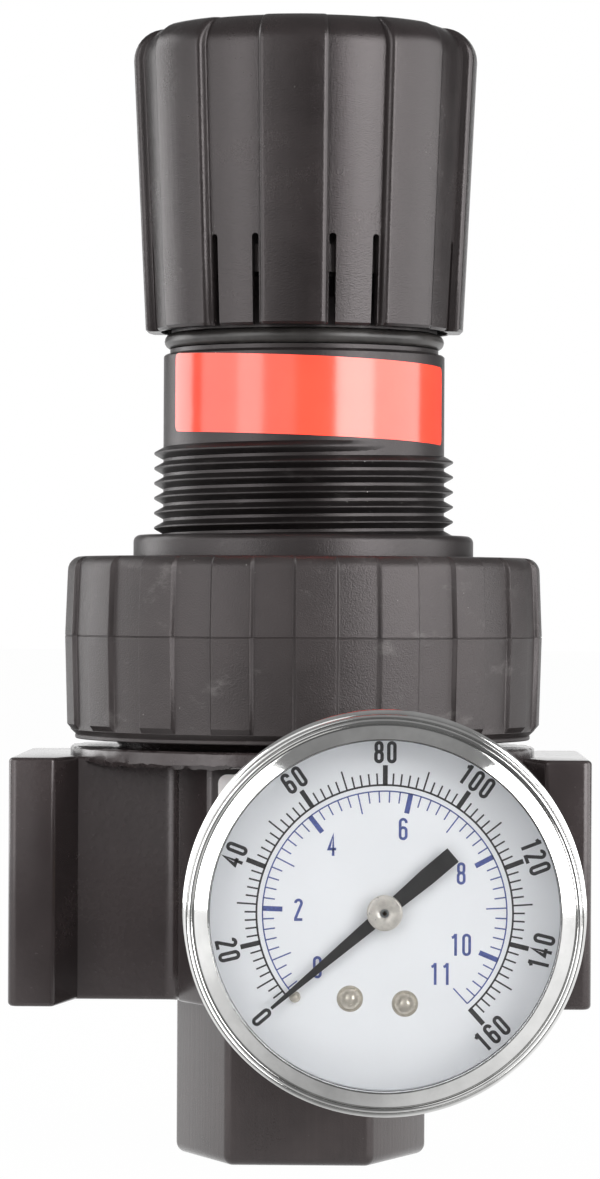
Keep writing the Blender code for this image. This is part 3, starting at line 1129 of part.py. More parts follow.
def make_dial(gauge):
    dial = piece("gauge_dial", rod(DIAL_RADIUS, DIAL_BACK, DIAL_FRONT, FINE), "white_dial", gauge)
    low, high = DIAL_BACK - GAP, DIAL_FRONT + GAP
    holes = [rod(DIAL_HOLE_RADIUS, low, high, SMALL),
             prism(circle(STOP_PIN_RADIUS + GAP, TINY, STOP_PIN), low, high)]
    holes += [prism(circle(DIAL_SCREW_SHANK_RADIUS + GAP, TINY, spot), low, high)
              for spot in DIAL_SCREWS]
    combine(dial, guide("dial_holes", joined(*holes), gauge), "DIFFERENCE")
    head_low = DIAL_FRONT + GAP
    dome = DIAL_SCREW_HEAD
    profile = [(0, POST_TOP + 2 * GAP - DIAL_SCREW_LENGTH),
               (DIAL_SCREW_SHANK_RADIUS, POST_TOP + 2 * GAP - DIAL_SCREW_LENGTH),
               (DIAL_SCREW_SHANK_RADIUS, head_low), (DIAL_SCREW_RADIUS, head_low),
               (DIAL_SCREW_RADIUS * 0.85, head_low + dome * 0.6), (0, head_low + dome)]
    for side, (x, y) in zip(("left", "right"), DIAL_SCREWS):
        piece(f"dial_screw_{side}", turned(profile, 12), "nickel", gauge, (x, y, 0))
    pin = [(0, DIAL_BACK - GAP), (STOP_PIN_RADIUS, DIAL_BACK - GAP),
           (STOP_PIN_RADIUS, DIAL_FRONT + STOP_PIN_HEIGHT * 0.7), (0, DIAL_FRONT + STOP_PIN_HEIGHT)]
    piece("stop_pin", moved(turned(pin, TINY), *STOP_PIN, 0), "nickel", gauge)


def make_pointer(gauge):
    """Tapered needle with a broad tail and a hub, on the arbor that carries the pinion."""
    axis = holder("pointer_axis", (0, 0, 0), (0, 0, POINTER_REST), gauge)
    root, tip, tail = POINTER_ROOT_WIDTH / 2, POINTER_TIP_WIDTH / 2, POINTER_TAIL_WIDTH / 2
    outline = [(root, 0), (tip, POINTER_LENGTH), (-tip, POINTER_LENGTH), (-root, 0),
               (-root, -0.45 * POINTER_TAIL), (-tail, -0.5 * POINTER_TAIL), (-tail, -POINTER_TAIL),
               (tail, -POINTER_TAIL), (tail, -0.5 * POINTER_TAIL), (root, -0.45 * POINTER_TAIL)]
    front = POINTER_BACK + POINTER_THICKNESS
    pointer = piece("pointer", prism(outline, POINTER_BACK, front), "black_pointer", axis)
    hub_top = front + HUB_HEIGHT
    hub_low = POINTER_BACK - 0.8 * MM
    hub = turned([(0, hub_low), (1.5 * MM, hub_low), (1.5 * MM, POINTER_BACK + 0.1 * MM),
                  (HUB_RADIUS, POINTER_BACK + 0.1 * MM), (HUB_RADIUS, hub_top - 0.4 * MM),
                  (HUB_RADIUS - 0.4 * MM, hub_top), (0, hub_top)], 20)
    combine(pointer, guide("pointer_hub", hub, axis), "UNION")
    bore = rod(ARBOR_BORE, hub_low - GAP, hub_top + GAP, TINY)
    combine(pointer, guide("pointer_bore", bore, axis), "DIFFERENCE")

    arbor_low = REAR_PLATE_BACK
    arbor = piece("pointer_arbor", rod(ARBOR_RADIUS, arbor_low, hub_top + 0.25 * MM, TINY), "steel", axis)
    middle = SECTOR_BACK + SECTOR_THICKNESS / 2
    step = FULL_TURN / PINION_TEETH
    mesh_angle = SECTOR_DIRECTION - POINTER_REST
    outline = []
    for index in range(PINION_TEETH):
        outline += tooth(PINION_RADIUS, mesh_angle + index * step, step)
    pinion = prism(outline, middle - PINION_WIDTH / 2, middle + PINION_WIDTH / 2)
    combine(arbor, guide("arbor_pinion", pinion, axis), "UNION")


def tooth(pitch_radius, angle, step):
    """Four points of one gear tooth: a trapezium with backlash at the pitch circle."""
    root = pitch_radius - 0.9 * TOOTH_MODULE
    tip = pitch_radius + 0.7 * TOOTH_MODULE
    return [polar(angle - 0.27 * step, root), polar(angle - 0.12 * step, tip),
            polar(angle + 0.12 * step, tip), polar(angle + 0.27 * step, root)]


def make_sector(gauge):
    """Toothed sector with its shaft, and the tail that the link pulls."""
    pivot = polar(SECTOR_DIRECTION, SECTOR_DISTANCE)
    axis = holder("sector_axis", (*pivot, 0), parent=gauge)
    step = FULL_TURN / (PINION_TEETH * SECTOR_RATIO)
    towards_pinion = SECTOR_DIRECTION + math.pi
    outline = []
    for index in reversed(range(SECTOR_TOOTH_COUNT)):
        outline += tooth(SECTOR_RADIUS, towards_pinion + (1.5 - index) * step, step)
    hub = SECTOR_HUB_RADIUS
    tail = SECTOR_TAIL_ANGLE
    tail_pin = polar(tail, SECTOR_TAIL)
    outline += arc((0, 0), hub, math.radians(250), math.radians(305), 3)
    outline += arc(tail_pin, 1.3 * MM, tail - math.pi / 2, tail + math.pi / 2, 4)
    outline += arc((0, 0), hub, math.radians(30), math.radians(115), 4)
    sector = piece("sector_gear", prism(outline, SECTOR_BACK, SECTOR_BACK + SECTOR_THICKNESS),
                   "brass", axis)
    shaft = rod(SECTOR_SHAFT_RADIUS, REAR_PLATE_BACK + GAP, FRONT_PLATE_FRONT - GAP, TINY)
    combine(sector, guide("sector_shaft", shaft, axis), "UNION")
    link_low = SECTOR_BACK + SECTOR_THICKNESS + GAP
    link_high = link_low + LINK_THICKNESS
    pin = prism(circle(LINK_PIN_RADIUS, TINY, tail_pin), SECTOR_BACK + MM / 4, link_high)
    combine(sector, guide("sector_link_pin", pin, axis), "UNION")

    link_axis = holder("link_axis", (*tail_pin, 0), parent=axis)
    tip = polar(tube_tip_angle(), TUBE_CENTRE_RADIUS)
    reach = Vector(tip) - Vector(pivot) - Vector(tail_pin)
    angle = math.atan2(reach.y, reach.x)
    half = LINK_WIDTH / 2
    outline = arc((0, 0), half, angle + math.pi / 2, angle + 1.5 * math.pi, 5)
    outline += arc(tuple(reach), half, angle - math.pi / 2, angle + math.pi / 2, 5)
    link = piece("link", prism(outline, link_low, link_high), "brass", link_axis)
    eye = rod(LINK_PIN_RADIUS + SECTOR_SHAFT_CLEARANCE, link_low - GAP, link_high + GAP, TINY)
    combine(link, guide("link_eye", eye, link_axis), "DIFFERENCE")


def tube_tip_angle():
    """Direction of the block at the free end of the Bourdon tube."""
    return TUBE_START + TUBE_SWEEP - (GAP + TUBE_TIP_LENGTH / 2) / TUBE_CENTRE_RADIUS


def make_bourdon_tube(gauge):
    """Flattened C-shaped tube from the block round to its free tip."""
    middle = (TUBE_BLOCK_BACK + TUBE_BLOCK_FRONT) / 2
    steps = 22
    rings = []
    for step in range(steps + 1):
        angle = TUBE_START + TUBE_SWEEP * step / steps
        ring = []
        for x, y in circle(1, 8, turn=math.pi / 8):
            radius = TUBE_CENTRE_RADIUS + x * TUBE_HEIGHT / 2
            ring.append((*polar(angle, radius), middle + y * TUBE_WIDTH / 2))
        rings.append(ring)
    piece("bourdon_tube", lofted(rings), "brass", gauge)
    half_angle = TUBE_TIP_LENGTH / 2 / TUBE_CENTRE_RADIUS
    centre = tube_tip_angle()
    inner = TUBE_CENTRE_RADIUS - TUBE_HEIGHT / 2
    outer = TUBE_CENTRE_RADIUS + TUBE_HEIGHT / 2
    outline = [polar(centre - half_angle, inner), polar(centre - half_angle, outer),
               polar(centre + half_angle, outer), polar(centre + half_angle, inner)]
    tip_top = SECTOR_BACK + SECTOR_THICKNESS
    piece("tube_tip", prism(outline, middle - TUBE_WIDTH / 2, tip_top), "brass", gauge)


def make_movement(gauge):
    """Two plates on three posts that carry the arbor and the sector, and the hairspring."""
    low, high = MOVEMENT_PLATE_ENDS
    half = MOVEMENT_PLATE_WIDTH / 2
    corner = 2 * MM
    outline = rounded([(low, -half, corner), (SECTOR_DISTANCE + high, -half, corner),
                       (SECTOR_DISTANCE + high, half, corner), (low, half, corner)])
    lean = Matrix.Rotation(SECTOR_DIRECTION, 4, "Z")
    levels = (("rear", REAR_PLATE_BACK, REAR_PLATE_FRONT), ("front", FRONT_PLATE_BACK, FRONT_PLATE_FRONT))
    plates = {}
    for name, back, front in levels:
        plate = piece(f"movement_{name}_plate", placed(prism(outline, back, front), lean), "brass", gauge)
        shaft_hole = circle(SECTOR_SHAFT_RADIUS + SECTOR_SHAFT_CLEARANCE, TINY, (SECTOR_DISTANCE, 0))
        holes = joined(rod(ARBOR_BORE, back - GAP, front + GAP, TINY),
                       prism(shaft_hole, back - GAP, front + GAP))
        cutter = guide(f"movement_{name}_plate_holes", placed(holes, lean), gauge)
        combine(plate, cutter, "DIFFERENCE")
        plates[name] = plate
    spots = ((low + corner, 0), (SECTOR_DISTANCE, POST_OFFSET),
             (SECTOR_DISTANCE - LOWER_POST_SHIFT, -POST_OFFSET))
    posts = [prism(circle(POST_RADIUS, TINY, spot), REAR_PLATE_FRONT - GAP, FRONT_PLATE_BACK - GAP)
             for spot in spots]
    posts = guide("movement_posts", placed(joined(*posts), lean), gauge)
    combine(plates["rear"], posts, "UNION")

    count = round(HAIRSPRING_TURNS * 10)
    inside, outside = [], []
    for index in range(count + 1):
        angle = FULL_TURN * HAIRSPRING_TURNS * index / count
        radius = HAIRSPRING_INNER + HAIRSPRING_STEP * angle / FULL_TURN
        inside.append(polar(angle, radius))
        outside.append(polar(angle, radius + HAIRSPRING_STRIP))
    spring_low = REAR_PLATE_FRONT + GAP
    spiral = prism(outside + inside[::-1], spring_low, spring_low + HAIRSPRING_WIDTH)
    piece("hairspring", spiral, "brass", gauge)


def make_gauge():
    face = BLOCK_DEPTH / 2 + GAUGE_BOSS_PROUD
    gauge = holder("gauge_axis", (GAUGE_PORT_X, -face, GAUGE_Z), (math.pi / 2, 0, 0))
    make_gauge_socket(gauge)
    make_gauge_case(gauge)
    make_gauge_bezel(gauge)
    make_dial(gauge)
    make_pointer(gauge)
    make_sector(gauge)
    make_bourdon_tube(gauge)
    make_movement(gauge)


# Clear the scene, then make everything

def clear_scene():
    for old in list(bpy.data.objects):
        bpy.data.objects.remove(old, do_unlink=True)


def main():
    clear_scene()
    make_body()
    make_front_plate()
    make_bottom_plug()
    make_rear_port_plug()
    make_valve_seat()
    make_bonnet()
    make_label_band()
    make_collar()
    valve_axis = holder("valve_axis", (0, 0, 0))
    make_valve(valve_axis)
    diaphragm_axis = holder("diaphragm_axis", (0, 0, 0))
    make_diaphragm(diaphragm_axis)
    screw_axis = holder("screw_axis", (0, 0, 0))
    make_adjusting_screw(screw_axis)
    make_knob(holder("knob_axis", (0, 0, 0), parent=screw_axis))
    make_spring_rest(holder("spring_rest_axis", (0, 0, 0)))
    make_gauge()


main()
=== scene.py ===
"""Relieving air regulator: the finished look of each piece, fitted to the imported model.

Metres, +Z up. The gauge faces -Y. Each operator makes one piece, or a group of like
pieces, from the sizes and colours in its property group.
"""
import math

import bmesh
import bpy
from mathutils import Matrix, Vector, noise


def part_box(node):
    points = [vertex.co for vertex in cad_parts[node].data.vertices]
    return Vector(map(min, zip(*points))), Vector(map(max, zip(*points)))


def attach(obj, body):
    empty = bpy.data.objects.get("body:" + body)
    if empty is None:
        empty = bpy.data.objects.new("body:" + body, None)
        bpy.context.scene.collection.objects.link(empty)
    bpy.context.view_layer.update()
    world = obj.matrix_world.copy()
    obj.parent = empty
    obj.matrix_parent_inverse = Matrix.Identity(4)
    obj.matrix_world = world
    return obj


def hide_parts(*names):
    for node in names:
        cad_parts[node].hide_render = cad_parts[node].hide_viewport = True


bl_info = {
    "name": "Relieving Air Regulator",
    "version": (1, 0, 0),
    "blender": (4, 5, 0),
    "location": "3D View > Sidebar > Regulator",
    "description": "Models and finishes the pieces of a relieving air regulator with a dial gauge",
    "category": "Add Mesh",
}

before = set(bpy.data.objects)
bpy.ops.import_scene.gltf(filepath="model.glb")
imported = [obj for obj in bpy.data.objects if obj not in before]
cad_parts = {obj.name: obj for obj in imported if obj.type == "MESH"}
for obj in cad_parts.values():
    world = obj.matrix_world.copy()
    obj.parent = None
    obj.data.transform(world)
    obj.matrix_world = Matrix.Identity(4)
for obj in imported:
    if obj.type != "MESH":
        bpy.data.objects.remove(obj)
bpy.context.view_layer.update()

MM = 0.001
FULL_TURN = 2 * math.pi
WELD = 1e-7
ROUND = 160
SMALL_ROUND = 48


def low(node):
    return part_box(node)[0]


def high(node):
    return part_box(node)[1]


def width(node):
    return high(node)[0] - low(node)[0]


GAUGE_X = (low("gauge_bezel")[0] + high("gauge_bezel")[0]) / 2
GAUGE_Z = (low("gauge_bezel")[2] + high("gauge_bezel")[2]) / 2
DIAL_FRONT = low("gauge_dial")[1]
GAUGE_PLACE = Matrix.Translation((GAUGE_X, DIAL_FRONT, GAUGE_Z)) @ Matrix.Rotation(math.pi / 2, 4, "X")


# Property helpers

def length(name, description, default, **options):
    return bpy.props.FloatProperty(name=name, description=description, default=default,
                                   min=0, unit="LENGTH", precision=5, **options)


def angle(name, description, degrees):
    return bpy.props.FloatProperty(name=name, description=description,
                                   default=math.radians(degrees), subtype="ANGLE")


def colour(name, description, default):
    return bpy.props.FloatVectorProperty(name=name, description=description, default=default,
                                         size=3, min=0, max=1, subtype="COLOR")


def factor(name, description, default, highest=1.0):
    return bpy.props.FloatProperty(name=name, description=description, default=default,
                                   min=0, max=highest)


# Shader helpers

class Socket:
    """A node's output that Python's operators work on."""

    def __init__(self, paint, output):
        self.paint = paint
        self.output = output

    def maths(self, operation, first, second):
        return self.paint.node("ShaderNodeMath", {"operation": operation}, (first, second))

    def __add__(self, other):
        return self.maths("ADD", self, other)

    def __mul__(self, other):
        return self.maths("MULTIPLY", self, other)

    def __sub__(self, other):
        return self.maths("SUBTRACT", self, other)

    def __rsub__(self, other):
        return self.maths("SUBTRACT", other, self)

    def __pow__(self, other):
        return self.maths("POWER", self, other)

    __radd__ = __add__
    __rmul__ = __mul__


class Paint:
    """A node tree that is built up node by node."""

    def __init__(self, owner):
        owner.use_nodes = True
        self.owner = owner
        self.tree = owner.node_tree
        self.tree.nodes.clear()

    def node(self, kind, settings, inputs, output=0):
        made = self.tree.nodes.new(kind)
        for name, value in settings.items():
            setattr(made, name, value)
        pairs = inputs.items() if isinstance(inputs, dict) else enumerate(inputs)
        for name, value in pairs:
            if isinstance(value, Socket):
                self.tree.links.new(value.output, made.inputs[name])
            else:
                made.inputs[name].default_value = value
        return Socket(self, made.outputs[output])

    def place(self, stretch=(1, 1, 1)):
        """Object coordinates, squeezed along an axis where a pattern runs along it."""
        point = self.node("ShaderNodeTexCoord", {}, {}, "Object")
        return self.node("ShaderNodeMapping", {}, {"Vector": point, "Scale": stretch})

    def noise(self, grain, detail=2.0, rough=0.5, stretch=(1, 1, 1)):
        """Noise whose blotches are about grain metres wide."""
        return self.node("ShaderNodeTexNoise", {},
                         {"Vector": self.place(stretch), "Scale": 1 / grain, "Detail": detail,
                          "Roughness": rough})

    def specks(self, spacing, radius, stretch=(1, 1, 1)):
        """1 on small round specks and 0 between them."""
        distance = self.node("ShaderNodeTexVoronoi", {"feature": "F1"},
                             {"Vector": self.place(stretch), "Scale": 1 / spacing, "Randomness": 1.0})
        return self.ramp(distance, radius / spacing, 0.6 * radius / spacing)

    def ramp(self, value, start, end, low_value=0.0, high_value=1.0):
        return self.node("ShaderNodeMapRange", {"interpolation_type": "SMOOTHSTEP"},
                         (value, start, end, low_value, high_value))

    def mix(self, share, first, second):
        """A blend of two colours."""
        return self.node("ShaderNodeMix", {"data_type": "RGBA"},
                         {0: share, 6: as_colour(first), 7: as_colour(second)}, 2)

    def toned(self, tone, brightness):
        """A colour made lighter or darker by a map."""
        return self.node("ShaderNodeVectorMath", {"operation": "SCALE"},
                         {"Vector": tone, "Scale": brightness})

    def bump(self, height, distance, strength=1.0):
        return self.node("ShaderNodeBump", {},
                         {"Height": height, "Distance": distance, "Strength": strength})

    def shader(self, **values):
        named = {name.replace("_", " ").title(): value for name, value in values.items()}
        named = {name.replace("Ior", "IOR"): value for name, value in named.items()}
        for name in {"Base Color", "Specular Tint"} & set(named):
            named[name] = as_colour(named[name])
        return self.node("ShaderNodeBsdfPrincipled", {}, named)

    def output(self, surface, kind="ShaderNodeOutputMaterial"):
        end = self.tree.nodes.new(kind)
        self.tree.links.new(surface.output, end.inputs["Surface"])
        return self.owner


def as_colour(value):
    if isinstance(value, Socket) or len(value) == 4:
        return value
    return (*value, 1.0)


def new_paint(name):
    return Paint(bpy.data.materials.new(name))


# Finishes

WARM = (1.0, 0.93, 0.94)


def moulded_plastic(name, tone, rough=0.42, grain=0.00022, chalk=0.0, dust=0.25, streaks=0.0,
                    dust_spacing=0.0021, relief_depth=0.00006, coat=0.0):
    """Black moulded plastic: fine mould grain, cloudy tone, rubbed chalky marks and dust."""
    paint = new_paint(name)
    cloud = paint.noise(0.009, 4, 0.6)
    fine = paint.noise(grain, 2, 0.6)
    drawn = paint.noise(0.0007, 3, 0.6, (1, 1, 0.03))
    tone_map = paint.ramp(cloud, 0.3, 0.72, 0.82, 1.22) + (drawn - 0.5) * streaks
    scaled = paint.toned(tone, tone_map)
    rubbed = paint.ramp(paint.noise(0.0045, 6, 0.72, (0.6, 0.6, 1.2)), 0.56, 0.74) * chalk
    dusty = paint.specks(dust_spacing, 0.00009) * paint.ramp(paint.noise(0.012, 2), 0.5, 0.66) * dust
    base = paint.mix(rubbed, scaled, (0.19, 0.18, 0.175))
    base = paint.mix(dusty, base, (0.55, 0.54, 0.52))
    roughness = rough + (cloud - 0.5) * 0.14 + rubbed * 0.2 + (fine - 0.5) * 0.06
    relief = fine * 0.6 + cloud * 0.25 + drawn * streaks
    surface = paint.shader(base_color=base, roughness=roughness, ior=1.5, specular_tint=WARM,
                           coat_weight=coat, coat_roughness=0.2, coat_ior=1.2,
                           normal=paint.bump(relief, relief_depth))
    return paint.output(surface)


def cast_paint(name, tone, rough=0.26):
    """Satin black paint on a die casting: a faint orange peel and dust."""
    paint = new_paint(name)
    cloud = paint.noise(0.014, 3, 0.55)
    peel = paint.noise(0.00075, 2, 0.5)
    scaled = paint.toned(tone, paint.ramp(cloud, 0.3, 0.7, 0.85, 1.2))
    dusty = paint.specks(0.0034, 0.0001) * paint.ramp(paint.noise(0.011, 2), 0.5, 0.62) * 0.3
    base = paint.mix(dusty, scaled, (0.5, 0.48, 0.46))
    roughness = rough + (cloud - 0.5) * 0.12 + (peel - 0.5) * 0.08
    surface = paint.shader(base_color=base, roughness=roughness, ior=1.5, specular_tint=WARM,
                           coat_weight=1.0, coat_roughness=0.14, coat_ior=1.2,
                           normal=paint.bump(peel + cloud * 0.8, 0.000028))
    return paint.output(surface)


def sealing_rubber(name, tone):
    """Greased black rubber."""
    paint = new_paint(name)
    bloom = paint.noise(0.003, 4, 0.6)
    scaled = paint.toned(tone, paint.ramp(bloom, 0.3, 0.7, 0.8, 1.5))
    surface = paint.shader(base_color=scaled, roughness=0.34 + (bloom - 0.5) * 0.2,
                           normal=paint.bump(bloom, 0.00004))
    return paint.output(surface)


def printed_film(name, tone, rough, ior):
    """A sticker's film: even ink under a glossy face, with slight ripples."""
    paint = new_paint(name)
    ripple = paint.noise(0.006, 2, 0.4)
    scaled = paint.toned(tone, paint.ramp(ripple, 0.3, 0.7, 0.95, 1.04))
    surface = paint.shader(base_color=scaled, roughness=rough, ior=ior,
                           normal=paint.bump(ripple, 0.00004))
    return paint.output(surface)


def plated_metal(name, tone, rough, scratches=0.3, grain=0.0006, stretch=(1, 1, 1)):
    """Bare or plated metal with a fine machining grain and faint stains."""
    paint = new_paint(name)
    stain = paint.noise(0.006, 4, 0.6)
    line = paint.noise(grain, 3, 0.6, stretch)
    scaled = paint.toned(tone, paint.ramp(stain, 0.3, 0.75, 0.88, 1.06))
    roughness = rough + (stain - 0.5) * 0.06 + (line - 0.5) * 0.1 * scratches
    surface = paint.shader(base_color=scaled, metallic=1.0, roughness=roughness,
                           normal=paint.bump(line, 0.00002, scratches))
    return paint.output(surface)


def satin_nickel(name, tone, rough):
    """Satin nickel under a thin lacquer, paler than bare metal."""
    paint = new_paint(name)
    cloud = paint.noise(0.0008, 3, 0.6)
    scaled = paint.toned(tone, paint.ramp(cloud, 0.3, 0.75, 0.86, 1.08))
    surface = paint.shader(base_color=scaled, metallic=0.5, roughness=rough + (cloud - 0.5) * 0.15,
                           normal=paint.bump(cloud, 0.00002))
    return paint.output(surface)


def clear_glass(name):
    """A clear lens that lets light through to the dial and mirrors a little at its face."""
    paint = new_paint(name)
    gloss = paint.shader(base_color=(1, 1, 1), metallic=1.0, roughness=0.02)
    through = paint.node("ShaderNodeBsdfTransparent", {}, {"Color": (0.985, 0.99, 0.995, 1)})
    share = paint.node("ShaderNodeFresnel", {}, {"IOR": 1.42})
    return paint.output(paint.node("ShaderNodeMixShader", {}, (share, through, gloss)))


def dial_paint(name, tone):
    """Matt white dial paint with a faint unevenness."""
    paint = new_paint(name)
    cloud = paint.noise(0.01, 2, 0.5)
    scaled = paint.toned(tone, paint.ramp(cloud, 0.3, 0.7, 0.985, 1.01))
    surface = paint.shader(base_color=scaled, roughness=0.5, normal=paint.bump(cloud, 0.00002))
    return paint.output(surface)


def ink(name, tone):
    """Screen-printed ink, a little uneven at its edges."""
    paint = new_paint(name)
    wear = paint.noise(0.0004, 3, 0.6)
    scaled = paint.toned(tone, paint.ramp(wear, 0.3, 0.75, 0.85, 1.35))
    return paint.output(paint.shader(base_color=scaled, roughness=0.55))


# Mesh helpers

def spun(profile, steps=ROUND, closed=True, sweep=FULL_TURN):
    """Spin (radius, height) points round Z; a closed profile ends where it began."""
    bm = bmesh.new()
    points = [bm.verts.new((radius, 0, height)) for radius, height in profile]
    pairs = list(zip(points, points[1:]))
    if closed:
        pairs.append((points[-1], points[0]))
    edges = [bm.edges.new(pair) for pair in pairs]
    whole = sweep == FULL_TURN
    bmesh.ops.spin(bm, geom=points + edges, cent=(0, 0, 0), axis=(0, 0, 1), angle=sweep,
                   steps=steps, use_merge=whole)
    bmesh.ops.remove_doubles(bm, verts=bm.verts, dist=WELD)
    bmesh.ops.recalc_face_normals(bm, faces=bm.faces)
    return bm


def arc(centre, radius, start, end, steps):
    """Points of an arc in a profile; angles are in degrees."""
    points = []
    for step in range(steps + 1):
        turn = math.radians(start + (end - start) * step / steps)
        points.append((centre[0] + radius * math.cos(turn), centre[1] + radius * math.sin(turn)))
    return points


def flat_shape(points):
    """A face through (x, y) points."""
    bm = bmesh.new()
    bm.faces.new([bm.verts.new((x, y, 0)) for x, y in points])
    return bm


def thickened(bm, depth):
    """Extrude flat faces upwards into a closed solid."""
    made = bmesh.ops.extrude_face_region(bm, geom=bm.faces[:], use_keep_orig=True)
    verts = [item for item in made["geom"] if isinstance(item, bmesh.types.BMVert)]
    bmesh.ops.translate(bm, vec=(0, 0, depth), verts=verts)
    bmesh.ops.recalc_face_normals(bm, faces=bm.faces)
    return bm


def bevelled(bm, edges, offset, segments=3):
    bmesh.ops.bevel(bm, geom=list(edges), offset=offset, offset_type="OFFSET", segments=segments,
                    profile=0.5, affect="EDGES", clamp_overlap=True, material=-1)
    return bm


def rounded_ends(bm, radius, steps=4):
    """Round the edges of the flat ends of an upright prism by stepping them inwards."""
    for direction in (-1, 1):
        face = max(bm.faces, key=lambda item: direction * item.normal.z * item.calc_area())
        rim = list({vert for vert in face.verts})
        for vert in rim:
            vert.co.z -= direction * radius
        past = (0.0, 0.0)
        for step in range(1, steps + 1):
            turn = math.pi / 2 * step / steps
            place = (radius * (1 - math.cos(turn)), radius * math.sin(turn))
            bmesh.ops.inset_region(bm, faces=[face], thickness=place[0] - past[0],
                                   depth=place[1] - past[1], use_even_offset=True)
            past = place
    return bm


def moved(bm, matrix):
    bmesh.ops.transform(bm, matrix=matrix, verts=bm.verts)
    return bm


def added(bm, other):
    """Another closed shape put into the same mesh."""
    mesh = bpy.data.meshes.new("part")
    other.to_mesh(mesh)
    other.free()
    bm.from_mesh(mesh)
    bpy.data.meshes.remove(mesh)
    return bm


def piece(name, bm, material, body, stands_for=(), sharp=40):
    """A finished piece that rides on a body and stands for the CAD nodes it dresses."""
    mesh = bpy.data.meshes.new(name)
    bm.to_mesh(mesh)
    bm.free()
    mesh.shade_smooth()
    mesh.set_sharp_from_angle(angle=math.radians(sharp))
    mesh.materials.append(material)
    made = bpy.data.objects.new(name, mesh)
    bpy.context.scene.collection.objects.link(made)
    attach(made, body)
    if stands_for:
        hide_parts(*stands_for)
    return made


def cut(target, cutter_bm, operation="DIFFERENCE"):
    """Cut a shape out of a piece's mesh, or join it on, and keep only the result."""
    mesh = bpy.data.meshes.new("cutter")
    cutter_bm.to_mesh(mesh)
    cutter_bm.free()
    cutter = bpy.data.objects.new("cutter", mesh)
    bpy.context.scene.collection.objects.link(cutter)
    modifier = target.modifiers.new("cut", "BOOLEAN")
    modifier.object = cutter
    modifier.operation = operation
    modifier.solver = "EXACT"
    graph = bpy.context.evaluated_depsgraph_get()
    result = bpy.data.meshes.new_from_object(target.evaluated_get(graph))
    target.modifiers.remove(modifier)
    old = target.data
    target.data = result
    result.name = old.name
    bpy.data.meshes.remove(old)
    bpy.data.objects.remove(cutter)
    bpy.data.meshes.remove(mesh)
    result.shade_smooth()
    result.set_sharp_from_angle(angle=math.radians(32))


def soften(made, offset, segments=2, degrees=30):
    """Round the sharp edges of a finished piece."""
    modifier = made.modifiers.new("soft_edges", "BEVEL")
    modifier.width = offset
    modifier.segments = segments
    modifier.limit_method = "ANGLE"
    modifier.angle_limit = math.radians(degrees)
    modifier.harden_normals = True


def off_rib(turn, count, start):
    """Turn from the middle of the nearest of count ribs."""
    pitch = FULL_TURN / count
    return (turn - start + pitch / 2) % pitch - pitch / 2


def crowded(turn, count, start, edge, spread):
    """Even turns moved so that half of them lie within spread of the ribs' edges."""
    half = math.pi / count
    past = off_rib(turn, count, start)
    share = abs(past) / half
    if share < 0.25:
        offset = share / 0.25 * (edge - spread)
    elif share < 0.75:
        offset = edge + spread * (4 * share - 2)
    else:
        offset = edge + spread + (share - 0.75) / 0.25 * (half - edge - spread)
    return turn - past + math.copysign(offset, past)


def drawn_up(levels, rise, count, spread):
    """A closed wall drawn up through (radius, height, rib height) levels.

    rise(turn) is 1 where the wall keeps the level's radius and 0 where it drops by the
    rib height. spread(turn) moves the even turns to where the wall needs them.
    """
    bm = bmesh.new()
    bmesh.ops.create_circle(bm, cap_ends=False, radius=1, segments=count)
    ring = bm.verts[:]
    edges = bm.edges[:]
    bmesh.ops.edgeloop_fill(bm, edges=edges)
    for vert in ring:
        turn = spread(math.atan2(vert.co.y, vert.co.x))
        vert.co = (math.cos(turn), math.sin(turn), 0)
    for index, (radius, height, rib) in enumerate(levels):
        if index:
            made = bmesh.ops.extrude_edge_only(bm, edges=edges)["geom"]
            ring = [item for item in made if isinstance(item, bmesh.types.BMVert)]
            edges = [item for item in made if isinstance(item, bmesh.types.BMEdge)]
        for vert in ring:
            turn = math.atan2(vert.co.y, vert.co.x)
            reach = radius - rib * (1 - rise(turn))
            vert.co = (reach * math.cos(turn), reach * math.sin(turn), height)
    bmesh.ops.edgeloop_fill(bm, edges=edges)
    bmesh.ops.recalc_face_normals(bm, faces=bm.faces)
    return bm


def lock_ring(smooth, toothed, bottom, top, share):
    """A ring of the knob's lock: smooth on one side, with 20 square teeth on the other."""
    teeth, depth, flank = 20, 1.4 * MM, math.radians(0.5)
    edge = math.pi / teeth * share

    def rise(turn):
        return min(max((edge + flank / 2 - abs(off_rib(turn, teeth, 0))) / flank, 0), 1)

    def spread(turn):
        return crowded(turn, teeth, 0, edge, flank)

    levels = [(smooth, bottom, 0), (toothed, bottom, depth), (toothed, top, depth), (smooth, top, 0),
              (smooth, bottom, 0)]
    bm = drawn_up(levels, rise, 16 * teeth, spread)
    ends = [face for face in bm.faces if len(face.verts) > 4]
    bmesh.ops.delete(bm, geom=ends, context="FACES_ONLY")
    bmesh.ops.remove_doubles(bm, verts=bm.verts, dist=WELD)
    bmesh.ops.recalc_face_normals(bm, faces=bm.faces)
    return bm


# Knob

